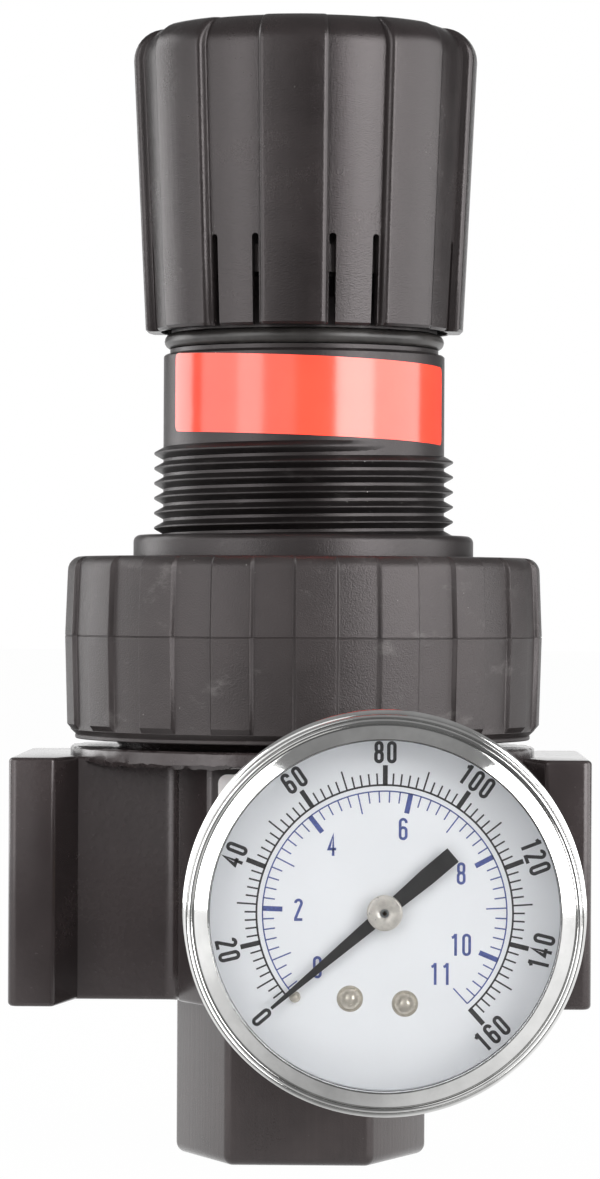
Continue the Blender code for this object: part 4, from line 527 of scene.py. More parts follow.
class RegulatorKnob(bpy.types.PropertyGroup):
    ribs: bpy.props.IntProperty(name="Ribs", description="Grip ribs round the knob", default=8, min=3)
    rib_height: length("Rib height", "How far a rib stands out of the valley", 1.3 * MM)
    rib_angle: angle("Rib angle", "Width of a rib's crest seen from above", 19.8)
    rib_round: length("Rib rounding", "Radius of the rounded edges of a rib", 0.9 * MM)
    rib_steepness: angle("Rib steepness", "Slope of a rib's sides", 78)
    slot_angle: angle("Slot angle", "From the middle of a rib to the slot beside it", 14.2)
    turn: angle("Turn", "Where the front rib stands, from straight ahead", -3.1)
    foot_radius: length("Foot radius", "Radius over the ribs at the foot", 22.6 * MM)
    bore_radius: length("Bore radius", "Inside radius of the skirt", 20.4 * MM)
    hub_bore: length("Hub bore", "Radius over the corners of the hub's six-sided bore", 6.1 * MM)
    edge_round: length("Edge rounding", "Radius of the rounded top edge", 4.4 * MM)
    slot_width: length("Slot width", "Width of the slots between the spring fingers", 0.98 * MM)
    slot_height: length("Slot height", "Height of the slots", 12.6 * MM)
    skirt_extra: length("Skirt length", "How far the skirt's lip hangs below the fingers", 0.35 * MM)
    tone: colour("Colour", "Black of the moulded knob", (0.013, 0.0105, 0.0105))


class REGULATOR_OT_knob(bpy.types.Operator):
    """Make the ribbed adjusting knob with its slotted foot"""
    bl_idname = "regulator.knob"
    bl_label = "Knob"

    def execute(self, context):
        knob = context.scene.regulator_knob
        foot, top = low("knob")[2] - knob.skirt_extra, high("knob")[2]
        widest = top - knob.edge_round
        top_radius = width("knob") / 2
        rib = knob.rib_height

        front = knob.turn - math.pi / 2
        crest = knob.rib_round * math.sin(knob.rib_steepness)

        def rise(turn):
            past = (abs(off_rib(turn, knob.ribs, front)) - knob.rib_angle / 2) * top_radius
            bend = min(max(past, 0), crest)
            drop = knob.rib_round - math.sqrt(knob.rib_round ** 2 - bend ** 2)
            drop += max(past - bend, 0) * math.tan(knob.rib_steepness) if past > 0 else 0
            return max(1 - drop / rib, 0)

        def spread(turn):
            edge = knob.rib_angle / 2 + crest / top_radius / 2
            return crowded(turn, knob.ribs, front, edge, crest / top_radius)

        slot_top = foot + knob.slot_height
        lock_gap, lock_height, screw_room = 0.5 * MM, 3.8 * MM, 3.7 * MM
        lock_low = high("bonnet")[2] + lock_gap
        roof = lock_low + lock_height
        levels = [(knob.bore_radius, roof, 0), (knob.bore_radius, foot, 0),
                  (knob.foot_radius - 0.35 * MM, foot, rib), (knob.foot_radius, foot + 0.35 * MM, rib)]
        for share in (0.25, 0.5, 0.75, 1.0):
            radius = knob.foot_radius + (top_radius - knob.foot_radius) * share
            levels.append((radius, foot + (widest - foot) * share, rib))
        steps = 9
        for step in range(1, steps + 1):
            turn = math.pi / 2 * step / steps
            levels.append((top_radius - knob.edge_round * (1 - math.cos(turn)),
                           widest + knob.edge_round * math.sin(turn),
                           rib * (1 - 0.55 * (step / steps) ** 3)))
        levels.append((top_radius - knob.edge_round - 2.5 * MM, top, 0))
        shell = drawn_up(levels, rise, 960, spread)
        material = moulded_plastic("knob_plastic", knob.tone, 0.25, dust=0.3, streaks=0.3)
        made = piece("knob_shell", shell, material, "knob", ["knob"])
        slots = bmesh.new()
        for index in range(knob.ribs):
            for side in (-1, 1):
                slot = bmesh.new()
                bmesh.ops.create_cube(slot, size=1)
                tall = knob.slot_height + 2 * MM
                moved(slot, Matrix.Translation((knob.foot_radius, 0, slot_top - tall / 2))
                      @ Matrix.Diagonal((8 * MM, knob.slot_width, tall, 1)))
                upper = [edge for edge in slot.edges
                         if all(vert.co.z > slot_top - MM for vert in edge.verts)
                         and abs(edge.verts[0].co.y - edge.verts[1].co.y) < WELD]
                bevelled(slot, upper, knob.slot_width * 0.46, 4)
                turn = index * FULL_TURN / knob.ribs + front + side * knob.slot_angle
                added(slots, moved(slot, Matrix.Rotation(turn, 4, "Z")))
        hexagon = bmesh.new()
        bmesh.ops.create_circle(hexagon, cap_ends=True, segments=6, radius=knob.hub_bore)
        bore_top = high("adjusting_screw")[2] + screw_room
        thickened(hexagon, bore_top - roof + MM)
        place = Matrix.Translation((0, 0, roof - MM)) @ Matrix.Rotation(math.pi / 6, 4, "Z")
        added(slots, moved(hexagon, place))
        cut(made, slots)
        tooth_tips, tooth_share = 19.0 * MM, 0.58
        teeth = lock_ring(knob.bore_radius, tooth_tips, lock_low, roof, tooth_share)
        piece("knob_lock_teeth", teeth, material, "knob")
        return {"FINISHED"}


# Bonnet with its neck and panel thread

class RegulatorNeck(bpy.types.PropertyGroup):
    thread_radius: length("Thread radius", "Radius over the thread's crests", 21.35 * MM)
    thread_root: length("Thread root", "Radius at the thread's roots", 20.0 * MM)
    thread_pitch: length("Thread pitch", "Rise of the thread in one turn", 25.4 / 12 * MM)
    thread_turns: factor("Thread turns", "Turns of the thread", 6.35, 20)
    run_out: angle("Run-out", "Where the thread's upper end fades out, right of the front", 38)
    flange_radius: length("Flange radius", "Radius of the flange under the thread", 24.2 * MM)
    neck_radius: length("Neck radius", "Radius of the neck that carries the label", 20.0 * MM)
    top_radius: length("Top radius", "Radius of the top inside the knob", 18.9 * MM)
    chamber_radius: length("Chamber radius", "Radius of the chamber for the range spring", 16.2 * MM)
    tone: colour("Colour", "Black of the moulded bonnet", (0.012, 0.0098, 0.0098))


class REGULATOR_OT_bonnet(bpy.types.Operator):
    """Make the bonnet: skirt, flange, panel thread, neck and ring groove"""
    bl_idname = "regulator.bonnet"
    bl_label = "Bonnet"

    def execute(self, context):
        neck = context.scene.regulator_neck
        bottom, top = low("bonnet")[2], high("bonnet")[2]
        collar_top = high("collar_nut")[2]
        flange_top = collar_top + 3.1 * MM
        thread_top = flange_top + 12.4 * MM
        neck_top = thread_top + 13.2 * MM
        ring_low, ring_high = low("neck_oring")[2], high("neck_oring")[2]
        skirt = width("bonnet") / 2
        ledge = collar_top - 4.3 * MM
        crown = top - 2.8 * MM
        screw_bore, spring_stop, skirt_bore = 6.1 * MM, 13.4 * MM, 24.9 * MM
        groove, groove_lip = 17.6 * MM, 19.1 * MM
        roof, shoulder = crown - 3.5 * MM, crown - 8.7 * MM
        profile = [(screw_bore, roof), (screw_bore, crown), (neck.top_radius - 0.3 * MM, crown),
                   (neck.top_radius, crown - 0.3 * MM), (neck.top_radius, ring_high + 0.2 * MM),
                   (groove, ring_high + 0.2 * MM), (groove, ring_low - 0.2 * MM),
                   (groove_lip, ring_low - 0.2 * MM), (groove_lip, neck_top + 0.2 * MM),
                   (neck.neck_radius - 0.25 * MM, neck_top), (neck.neck_radius, neck_top - 0.25 * MM),
                   (neck.neck_radius, thread_top - 0.2 * MM), (neck.thread_root, thread_top - 0.6 * MM),
                   (neck.thread_root, flange_top),
                   *reversed(arc((neck.flange_radius - MM, flange_top - MM), MM, 0, 90, 6)),
                   (neck.flange_radius, ledge), (skirt, ledge), (skirt, bottom), (skirt_bore, bottom),
                   (skirt_bore, ledge - 4 * MM), (20.6 * MM, ledge), (20.6 * MM, collar_top),
                   (neck.chamber_radius, collar_top + 4.7 * MM), (neck.chamber_radius, shoulder),
                   (spring_stop, shoulder), (spring_stop, roof)]
        material = moulded_plastic("bonnet_plastic", neck.tone, 0.34, dust=0.55, chalk=0.2)
        piece("bonnet_shell", spun(profile), material, "housing", ["bonnet"])
        teeth = lock_ring(15.2 * MM, 18.6 * MM, crown - 0.2 * MM, top, 0.42)
        piece("bonnet_lock_teeth", teeth, material, "housing")
        # The thread is the bonnet's plastic at about half its colour: painted shade for the dark flanks
        # between its turns.
        thread_painted_shade_plastic = moulded_plastic("thread_plastic_painted_shade", (0.006, 0.005, 0.005), 0.36, dust=1.0, chalk=0.1,
                               dust_spacing=0.0011)
        piece("panel_thread", self.thread(neck, thread_top), thread_painted_shade_plastic, "housing")
        return {"FINISHED"}

    def thread(self, neck, top):
        """A V-shaped ridge spun up a helix; its upper end fades into the neck."""
        bm = bmesh.new()
        pitch, root, crest = neck.thread_pitch, neck.thread_root, neck.thread_radius
        section = [(root - 0.4 * MM, -0.5), (root, -0.42), (crest - 0.14 * MM, -0.10),
                   (crest - 0.03 * MM, -0.06), (crest, -0.02), (crest, 0.02),
                   (crest - 0.03 * MM, 0.06), (crest - 0.14 * MM, 0.10), (root, 0.42),
                   (root - 0.4 * MM, 0.5)]
        points = [bm.verts.new((radius, 0, share * pitch)) for radius, share in section]
        edges = [bm.edges.new(pair) for pair in zip(points, points[1:] + points[:1])]
        start_edges = edges[:]
        steps = round(neck.thread_turns * 96)
        rise = pitch * neck.thread_turns
        bmesh.ops.spin(bm, geom=points + edges, cent=(0, 0, 0), axis=(0, 0, 1),
                       dvec=(0, 0, rise / steps), angle=FULL_TURN * neck.thread_turns, steps=steps)
        ends = [edge for edge in bm.edges if edge.is_boundary]
        upper = [edge for edge in ends if edge not in start_edges]
        bmesh.ops.edgeloop_fill(bm, edges=start_edges)
        bmesh.ops.edgeloop_fill(bm, edges=upper)
        fade = 0.22
        for vert in bm.verts:
            turn = math.atan2(vert.co.y, vert.co.x) / FULL_TURN % 1
            whole = round(vert.co.z / pitch - turn)
            left = neck.thread_turns - (whole + turn)
            share = min(max(left / fade, 0.02), 1)
            radius = math.hypot(vert.co.x, vert.co.y)
            if radius > root:
                wanted = root - 0.05 * MM + (radius - root) * share
                vert.co.x *= wanted / radius
                vert.co.y *= wanted / radius
        bmesh.ops.recalc_face_normals(bm, faces=bm.faces)
        last = FULL_TURN * neck.thread_turns
        lift = top - 0.09 * MM - rise
        return moved(bm, Matrix.Translation((0, 0, lift))
                     @ Matrix.Rotation(neck.run_out - math.pi / 2 - last, 4, "Z"))


class REGULATOR_OT_neck_ring(bpy.types.Operator):
    """Make the rubber ring round the neck"""
    bl_idname = "regulator.neck_ring"
    bl_label = "Neck ring"

    def execute(self, context):
        lower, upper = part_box("neck_oring")
        wire = (upper[2] - lower[2]) / 2 * 1.12
        centre = ((upper[0] - lower[0]) / 2 - wire, (upper[2] + lower[2]) / 2)
        ring = spun(arc(centre, wire, 0, 337.5, 15))
        piece("neck_ring", ring, sealing_rubber("ring_rubber", (0.022, 0.020, 0.019)), "housing",
              ["neck_oring"], 80)
        return {"FINISHED"}


# Label band

class RegulatorLabel(bpy.types.PropertyGroup):
    height: length("Height", "Height of the band", 11.0 * MM)
    corner: length("Corner", "Radius of the band's corners", 0.9 * MM)
    start: angle("Left end", "Where the band starts, left of the front", -63)
    end: angle("Right end", "Where the band ends, right of the front", 76)
    tilt: angle("Tilt", "How far out of level the band was put on", 2)
    tone: colour("Colour", "Orange-red of the film", (0.96, 0.062, 0.032))


class REGULATOR_OT_label(bpy.types.Operator):
    """Make the bare orange band on the neck"""
    bl_idname = "regulator.label"
    bl_label = "Label band"

    def execute(self, context):
        label = context.scene.regulator_label
        lower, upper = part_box("label_band")
        radius = context.scene.regulator_neck.neck_radius + 0.02 * MM
        reach = radius * (label.end - label.start) / 2
        half = label.height / 2
        band = flat_shape([(-reach, -half), (reach, -half), (reach, half), (-reach, half)])
        bmesh.ops.bevel(band, geom=band.verts[:], offset=label.corner, segments=5, profile=0.5,
                        affect="VERTICES", material=-1)
        cuts = 72
        for step in range(1, cuts):
            spot = -reach + 2 * reach * step / cuts
            bmesh.ops.bisect_plane(band, geom=band.verts[:] + band.edges[:] + band.faces[:],
                                   plane_co=(spot, 0, 0), plane_no=(1, 0, 0))
        thickened(band, 0.1 * MM)
        centre = (lower[2] + upper[2]) / 2
        middle = (label.start + label.end) / 2 - math.pi / 2
        for vert in band.verts:
            turn = middle + vert.co.x / radius
            out = radius + vert.co.z
            height = centre + vert.co.y - vert.co.x * math.tan(label.tilt)
            vert.co = (out * math.cos(turn), out * math.sin(turn), height)
        bmesh.ops.recalc_face_normals(band, faces=band.faces)
        film = printed_film("label_film", label.tone, 0.17, 1.72)
        piece("label_film", band, film, "housing", ["label_band"])
        return {"FINISHED"}


# Collar nut

class RegulatorCollar(bpy.types.PropertyGroup):
    ribs: bpy.props.IntProperty(name="Ribs", description="Grip ribs round the collar", default=18, min=3)
    rib_height: length("Rib height", "How far a rib stands proud", 0.65 * MM)
    turn: angle("Turn", "Where a rib stands, right of the front", 4)
    parting_height: length("Parting height", "Height of the moulding line", 13.9 * MM)
    draft: length("Draft", "How much narrower the ends are than the moulding line", 0.35 * MM)
    edge_round: length("Edge rounding", "Radius of the top edge", 2.0 * MM)
    lip_drop: length("Lip drop", "How far the lip at the foot hangs down", 0.65 * MM)
    lip_inset: length("Lip inset", "How much narrower the lip is than the collar", 1.65 * MM)
    tone: colour("Colour", "Black of the moulded collar", (0.020, 0.0167, 0.0165))


class REGULATOR_OT_collar(bpy.types.Operator):
    """Make the ribbed collar nut with its moulding line"""
    bl_idname = "regulator.collar"
    bl_label = "Collar nut"

    def execute(self, context):
        collar = context.scene.regulator_collar
        neck = context.scene.regulator_neck
        foot, top = low("collar_nut")[2], high("collar_nut")[2]
        rib = collar.rib_height
        outer = width("collar_nut") / 2
        drawn = outer - collar.draft
        parting = foot + collar.parting_height
        half = math.pi / collar.ribs / 2

        front = collar.turn - math.pi / 2
        flank = math.radians(0.9)

        def rise(turn):
            past = abs(off_rib(turn, collar.ribs, front)) - half + flank / 2
            share = min(max(1 - past / flank, 0), 1)
            return share * share * (3 - 2 * share)

        def spread(turn):
            return crowded(turn, collar.ribs, front, half, 2 * flank)

        bore = 28.5 * MM
        lip = outer - collar.lip_inset
        under = foot - collar.lip_drop
        levels = [(bore, under, 0), (lip - 0.12 * MM, under, 0), (lip, under + 0.12 * MM, 0),
                  (lip, under + 0.5 * MM, 0), (lip - 0.08 * MM, under + 0.6 * MM, 0),
                  (drawn - rib, under + 1.3 * MM, 0), (drawn - rib, under + 1.35 * MM, 0),
                  (drawn, under + 2.1 * MM, rib), (outer, parting - 0.12 * MM, rib),
                  (outer - 0.10 * MM, parting - 0.03 * MM, rib),
                  (outer - 0.10 * MM, parting + 0.03 * MM, rib), (outer, parting + 0.12 * MM, rib)]
        steps = 6
        for step in range(steps + 1):
            turn = math.pi / 2 * step / steps
            levels.append((drawn - collar.edge_round * (1 - math.cos(turn)),
                           top - collar.edge_round * (1 - math.sin(turn)),
                           rib * (1 - 0.9 * (step / steps) ** 2)))
        mouth = neck.flange_radius + 0.3 * MM
        levels += [(mouth + 0.3 * MM, top, 0), (mouth, top - 0.3 * MM, 0), (mouth, top - 4 * MM, 0)]
        wall = drawn_up(levels, rise, 1440, spread)
        material = moulded_plastic("collar_plastic", collar.tone, 0.38, chalk=0.26, dust=0.55,
                                   relief_depth=0.00009)
        piece("collar_shell", wall, material, "housing", ["collar_nut"], 30)
        return {"FINISHED"}


# Body

class RegulatorBody(bpy.types.PropertyGroup):
    flange_depth: length("Flange depth", "Front to back size of the end flanges", 40.0 * MM)
    flange_thickness: length("Flange thickness", "Thickness of an end flange at its edge", 6.4 * MM)
    wedge: length("Wedge", "How much thicker the flange is at its root", 2.9 * MM)
    panel_depth: length("Panel depth", "Front to back size between flange and block", 27.4 * MM)
    block_depth: length("Block depth", "Front to back size of the middle block", 48.0 * MM)
    block_face: length("Block face", "Width of the block's front face", 25.0 * MM)
    block_width: length("Block width", "Width of the block at its root", 33.9 * MM)
    waist_lift: length("Waist lift", "How much higher the middle's underside is", 0.5 * MM)
    flange_round: length("Flange rounding", "Radius of the flanges' outer edges", 1.3 * MM)
    edge_round: length("Edge rounding", "Radius of the other edges", 0.7 * MM)
    rim_radius: length("Rim radius", "Radius of the rim under the collar", 33.0 * MM)
    flash: length("Flash", "Roughness of the rim's broken casting edge", 0.16 * MM)
    port_radius: length("Port radius", "Radius of the inlet and outlet ports", 9.4 * MM)
    port_depth: length("Port depth", "Depth of the inlet and outlet ports", 14.5 * MM)
    boss_radius: length("Boss radius", "Radius of the gauge bosses", 10.4 * MM)
    tone: colour("Colour", "Black of the painted casting", (0.026, 0.0205, 0.0205))


class REGULATOR_OT_body(bpy.types.Operator):
    """Make the cast body with its flanges, ports, rim and gauge bosses"""
    bl_idname = "regulator.body"
    bl_label = "Body"

    def execute(self, context):
        body = context.scene.regulator_body
        bottom = low("body")[2]
        top = bottom + 34.4 * MM
        port_z = (bottom + top) / 2
        material = cast_paint("body_paint", body.tone)
        block = piece("body_block", self.block(body, bottom, top), material, "housing",
                      ["body"], 50)
        web, floor = bottom + 22.1 * MM, bottom + 7.5 * MM
        web_top = web + 3.5 * MM
        plug_bore, lower_chamber, seat_bore, upper_chamber = 14.3 * MM, 12.0 * MM, 6.3 * MM, 21.5 * MM
        chambers = spun([(0, bottom - MM), (plug_bore, bottom - MM), (plug_bore, floor),
                         (lower_chamber, floor), (lower_chamber, web), (seat_bore, web),
                         (seat_bore, web_top), (upper_chamber, web_top), (upper_chamber, top + MM),
                         (0, top + MM)], 96, closed=False)
        cut(block, chambers)
        inlet, outlet, rise_x = 5.4 * MM, 4.3 * MM, 18.2 * MM
        rise = spun([(0, port_z - outlet), (outlet, port_z - outlet), (outlet, web + 4 * MM),
                     (0, web + 4 * MM)], SMALL_ROUND, closed=False)
        cut(block, moved(rise, Matrix.Translation((rise_x, 0, 0))))
        for side, passage, reach in ((-1, inlet, 29.5 * MM), (1, outlet, 22.1 * MM)):
            end = side * width("body") / 2
            bore = spun([(0, -MM), (body.port_radius, -MM), (body.port_radius, body.port_depth),
                         (passage, body.port_depth), (passage, reach), (0, reach)], 96, closed=False)
            mouth = spun([(0, -MM), (body.port_radius + 1.7 * MM, -MM),
                          (body.port_radius - 0.1 * MM, 0.8 * MM), (0, 0.8 * MM)], 96, closed=False)
            turn = Matrix.Rotation(-side * math.pi / 2, 4, "Y")
            place = Matrix.Translation((end, 0, port_z)) @ turn
            cut(block, moved(bore, place))
            cut(block, moved(mouth, place))
        rim_top = top + 1.2 * MM
        undercut = low("collar_nut")[2] + 0.4 * MM
        neck_top = high("body")[2]
        rim = spun([(upper_chamber, rim_top - 2.3 * MM), (body.rim_radius - 0.5 * MM, rim_top - 2.3 * MM),
                    (body.rim_radius, rim_top - 1.8 * MM), (body.rim_radius, rim_top - 0.25 * MM),
                    (body.rim_radius - 0.3 * MM, rim_top), (26.0 * MM, rim_top),
                    (28.2 * MM, undercut), (28.2 * MM, neck_top), (24.6 * MM, neck_top),
                    (24.6 * MM, neck_top - 4 * MM), (upper_chamber, neck_top - 4 * MM)], 480)
        for vert in rim.verts:
            if math.hypot(vert.co.x, vert.co.y) > body.rim_radius - MM:
                rough = noise.noise(vert.co / (1.6 * MM)) + 0.5 * noise.noise(vert.co / (0.6 * MM))
                vert.co.xy *= 1 + 0.3 * rough * body.flash / body.rim_radius
                vert.co.z += rough * body.flash * (1.6 if vert.co.z < top - MM / 2 else 0.4)
        piece("body_rim", rim, material, "housing")
        reach = body.block_depth / 2 + 0.6 * MM
        for side, name in ((-1, "front"), (1, "rear")):
            face = side * reach
            boss = spun([(0, 0), (5.9 * MM, 0), (6.6 * MM, 0.1 * MM), (6.9 * MM, 0.7 * MM),
                         (7.0 * MM, 0.7 * MM), (body.boss_radius - 0.4 * MM, 0.7 * MM),
                         (body.boss_radius, 0.4 * MM), (body.boss_radius, -9 * MM), (0, -9 * MM)],
                        96, closed=False)
            turn = Matrix.Rotation(-side * math.pi / 2, 4, "X")
            place = Matrix.Translation((GAUGE_X, face - side * 0.7 * MM, GAUGE_Z)) @ turn
            piece(f"body_boss_{name}", moved(boss, place), material, "housing")
        return {"FINISHED"}

    def block(self, body, bottom, top):
        """Quarter outline mirrored both ways, drawn up, with its edges rounded."""
        flange_x = width("body") / 2
        wedge_x = flange_x - body.flange_thickness
        quarter = [(flange_x, 0), (flange_x, body.flange_depth / 2), (wedge_x, body.flange_depth / 2),
                   (wedge_x - body.wedge, body.panel_depth / 2),
                   (body.block_width / 2, body.panel_depth / 2),
                   (body.block_width / 2, body.panel_depth / 2 + 2.4 * MM),
                   (body.block_face / 2, body.block_depth / 2), (0, body.block_depth / 2)]
        bm = bmesh.new()
        points = [bm.verts.new((x, y, 0)) for x, y in quarter]
        for pair in zip(points, points[1:]):
            bm.edges.new(pair)
        for axis in ("X", "Y"):
            bmesh.ops.mirror(bm, geom=bm.verts[:] + bm.edges[:], axis=axis, merge_dist=WELD)
        bmesh.ops.remove_doubles(bm, verts=bm.verts, dist=WELD)
        bmesh.ops.edgeloop_fill(bm, edges=bm.edges[:])
        bmesh.ops.dissolve_limit(bm, angle_limit=0.01, verts=bm.verts[:], edges=bm.edges[:])
        corners = [vert for vert in bm.verts if abs(vert.co.y) > body.panel_depth / 2 + MM / 2]
        outer = [vert for vert in corners if abs(vert.co.x) > flange_x - WELD]
        inner = [vert for vert in corners if abs(vert.co.x) > wedge_x - WELD and vert not in outer]
        others = [vert for vert in corners if vert not in outer + inner]
        roots = [vert for vert in bm.verts if abs(abs(vert.co.x) - body.block_width / 2) < WELD
                 and vert not in corners]
        for verts, radius in ((others, body.edge_round), (outer, body.flange_round),
                              (inner, 0.6 * MM), (roots, 2.0 * MM)):
            bmesh.ops.bevel(bm, geom=verts, offset=radius, segments=5, profile=0.5,
                            affect="VERTICES", material=-1)
        thickened(bm, top - bottom)
        rounded_ends(bm, 0.6 * MM)
        for vert in bm.verts:
            if vert.co.z < MM and abs(vert.co.x) < wedge_x - body.wedge / 2:
                vert.co.z += body.waist_lift
        return moved(bm, Matrix.Translation((0, 0, bottom)))


class REGULATOR_OT_front_plate(bpy.types.Operator):
    """Make the bare grey plate on the body's front"""
    bl_idname = "regulator.front_plate"
    bl_label = "Front plate"

    def execute(self, context):
        lower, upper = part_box("front_plate")
        half_x, half_z = (upper[0] - lower[0]) / 2 - 0.5 * MM, (upper[2] - lower[2]) / 2
        top = half_z + 0.3 * MM
        plate = flat_shape([(-half_x, -half_z), (half_x, -half_z), (half_x, top), (-half_x, top)])
        bmesh.ops.bevel(plate, geom=plate.verts[:], offset=1.2 * MM, segments=6, profile=0.5,
                        affect="VERTICES", material=-1)
        thickened(plate, upper[1] - lower[1] + 0.3 * MM)
        place = Matrix.Translation((0, upper[1] + 0.3 * MM, (upper[2] + lower[2]) / 2))
        moved(plate, place @ Matrix.Rotation(math.pi / 2, 4, "X"))
        film = printed_film("plate_film", (0.90, 0.86, 0.86), 0.38, 1.5)
        piece("front_plate_film", plate, film, "housing", ["front_plate"])
        return {"FINISHED"}


# Bottom plug

class RegulatorPlug(bpy.types.PropertyGroup):
    corner_width: length("Corner width", "Width across the left and right corners", 35.8 * MM)
    face_width: length("Face width", "Width of the front and rear faces", 20.2 * MM)
    depth: length("Depth", "Front to back size", 31.0 * MM)
    foot_round: length("Foot rounding", "Radius of the lower edge", 2.6 * MM)
    corner_round: length("Corner rounding", "Radius of the upright corners", 0.9 * MM)
    tone: colour("Colour", "Black of the moulded plug", (0.029, 0.023, 0.0225))


class REGULATOR_OT_plug(bpy.types.Operator):
    """Make the six-sided bottom plug"""
    bl_idname = "regulator.plug"
    bl_label = "Bottom plug"

    def execute(self, context):
        plug = context.scene.regulator_plug
        half, face, deep = plug.corner_width / 2, plug.face_width / 2, plug.depth / 2
        top = low("body")[2] + context.scene.regulator_body.waist_lift - 0.05 * MM
        bm = flat_shape([(half, 0), (face, deep), (-face, deep), (-half, 0), (-face, -deep),
                         (face, -deep)])
        thickened(bm, top)
        upright = [edge for edge in bm.edges if abs(edge.verts[0].co.z - edge.verts[1].co.z) > MM]
        bevelled(bm, upright, plug.corner_round, 5)
        foot = [edge for edge in bm.edges if all(abs(vert.co.z) < WELD for vert in edge.verts)
                and edge.calc_face_angle(0) > 1]
        bevelled(bm, foot, plug.foot_round, 8)
        material = moulded_plastic("plug_plastic", plug.tone, 0.3, dust=0.25, streaks=0.5, coat=0.9)
        made = piece("plug_hexagon", bm, material, "housing", ["bottom_plug"], 50)
        seat, spigot_top = low("body")[2], high("bottom_plug")[2]
        guide = 3.5 * MM
        cut(made, spun([(0, seat - 2.4 * MM), (guide, seat - 2.4 * MM), (guide, seat + 2 * MM),
                        (0, seat + 2 * MM)], SMALL_ROUND, closed=False))
        stem, head, pocket = 12.3 * MM, 14.0 * MM, 7.2 * MM
        spigot = spun([(guide, seat - 2 * MM), (stem, seat - 2 * MM), (stem, seat + 2.3 * MM),
                       (head, seat + 2.3 * MM), (head, spigot_top), (pocket, spigot_top),
                       (pocket, seat + 2.6 * MM), (guide, seat + 2.6 * MM)], 96)
        piece("plug_spigot", spigot, material, "housing")
        return {"FINISHED"}


# Gauge case, bezel and lens

class RegulatorGauge(bpy.types.PropertyGroup):
    case_radius: length("Case radius", "Radius of the case", 25.0 * MM)
    window_radius: length("Window radius", "Radius of the opening in the bezel", 22.72 * MM)
    rear_lip: length("Rear lip", "How far the bezel's rear lip stands out past its bead", 0.45 * MM)
    groove_radius: length("Groove radius", "Radius of the groove inside the bead", 24.7 * MM)
    bezel_tone: colour("Chrome", "Colour of the chrome", (0.86, 0.86, 0.85))
    dial_tone: colour("Dial", "Colour of the dial's paint", (0.874, 0.876, 0.884))
    ink_tone: colour("Black ink", "Colour of the outer scale", (0.045, 0.042, 0.042))
    blue_tone: colour("Blue ink", "Colour of the inner scale", (0.075, 0.10, 0.30))


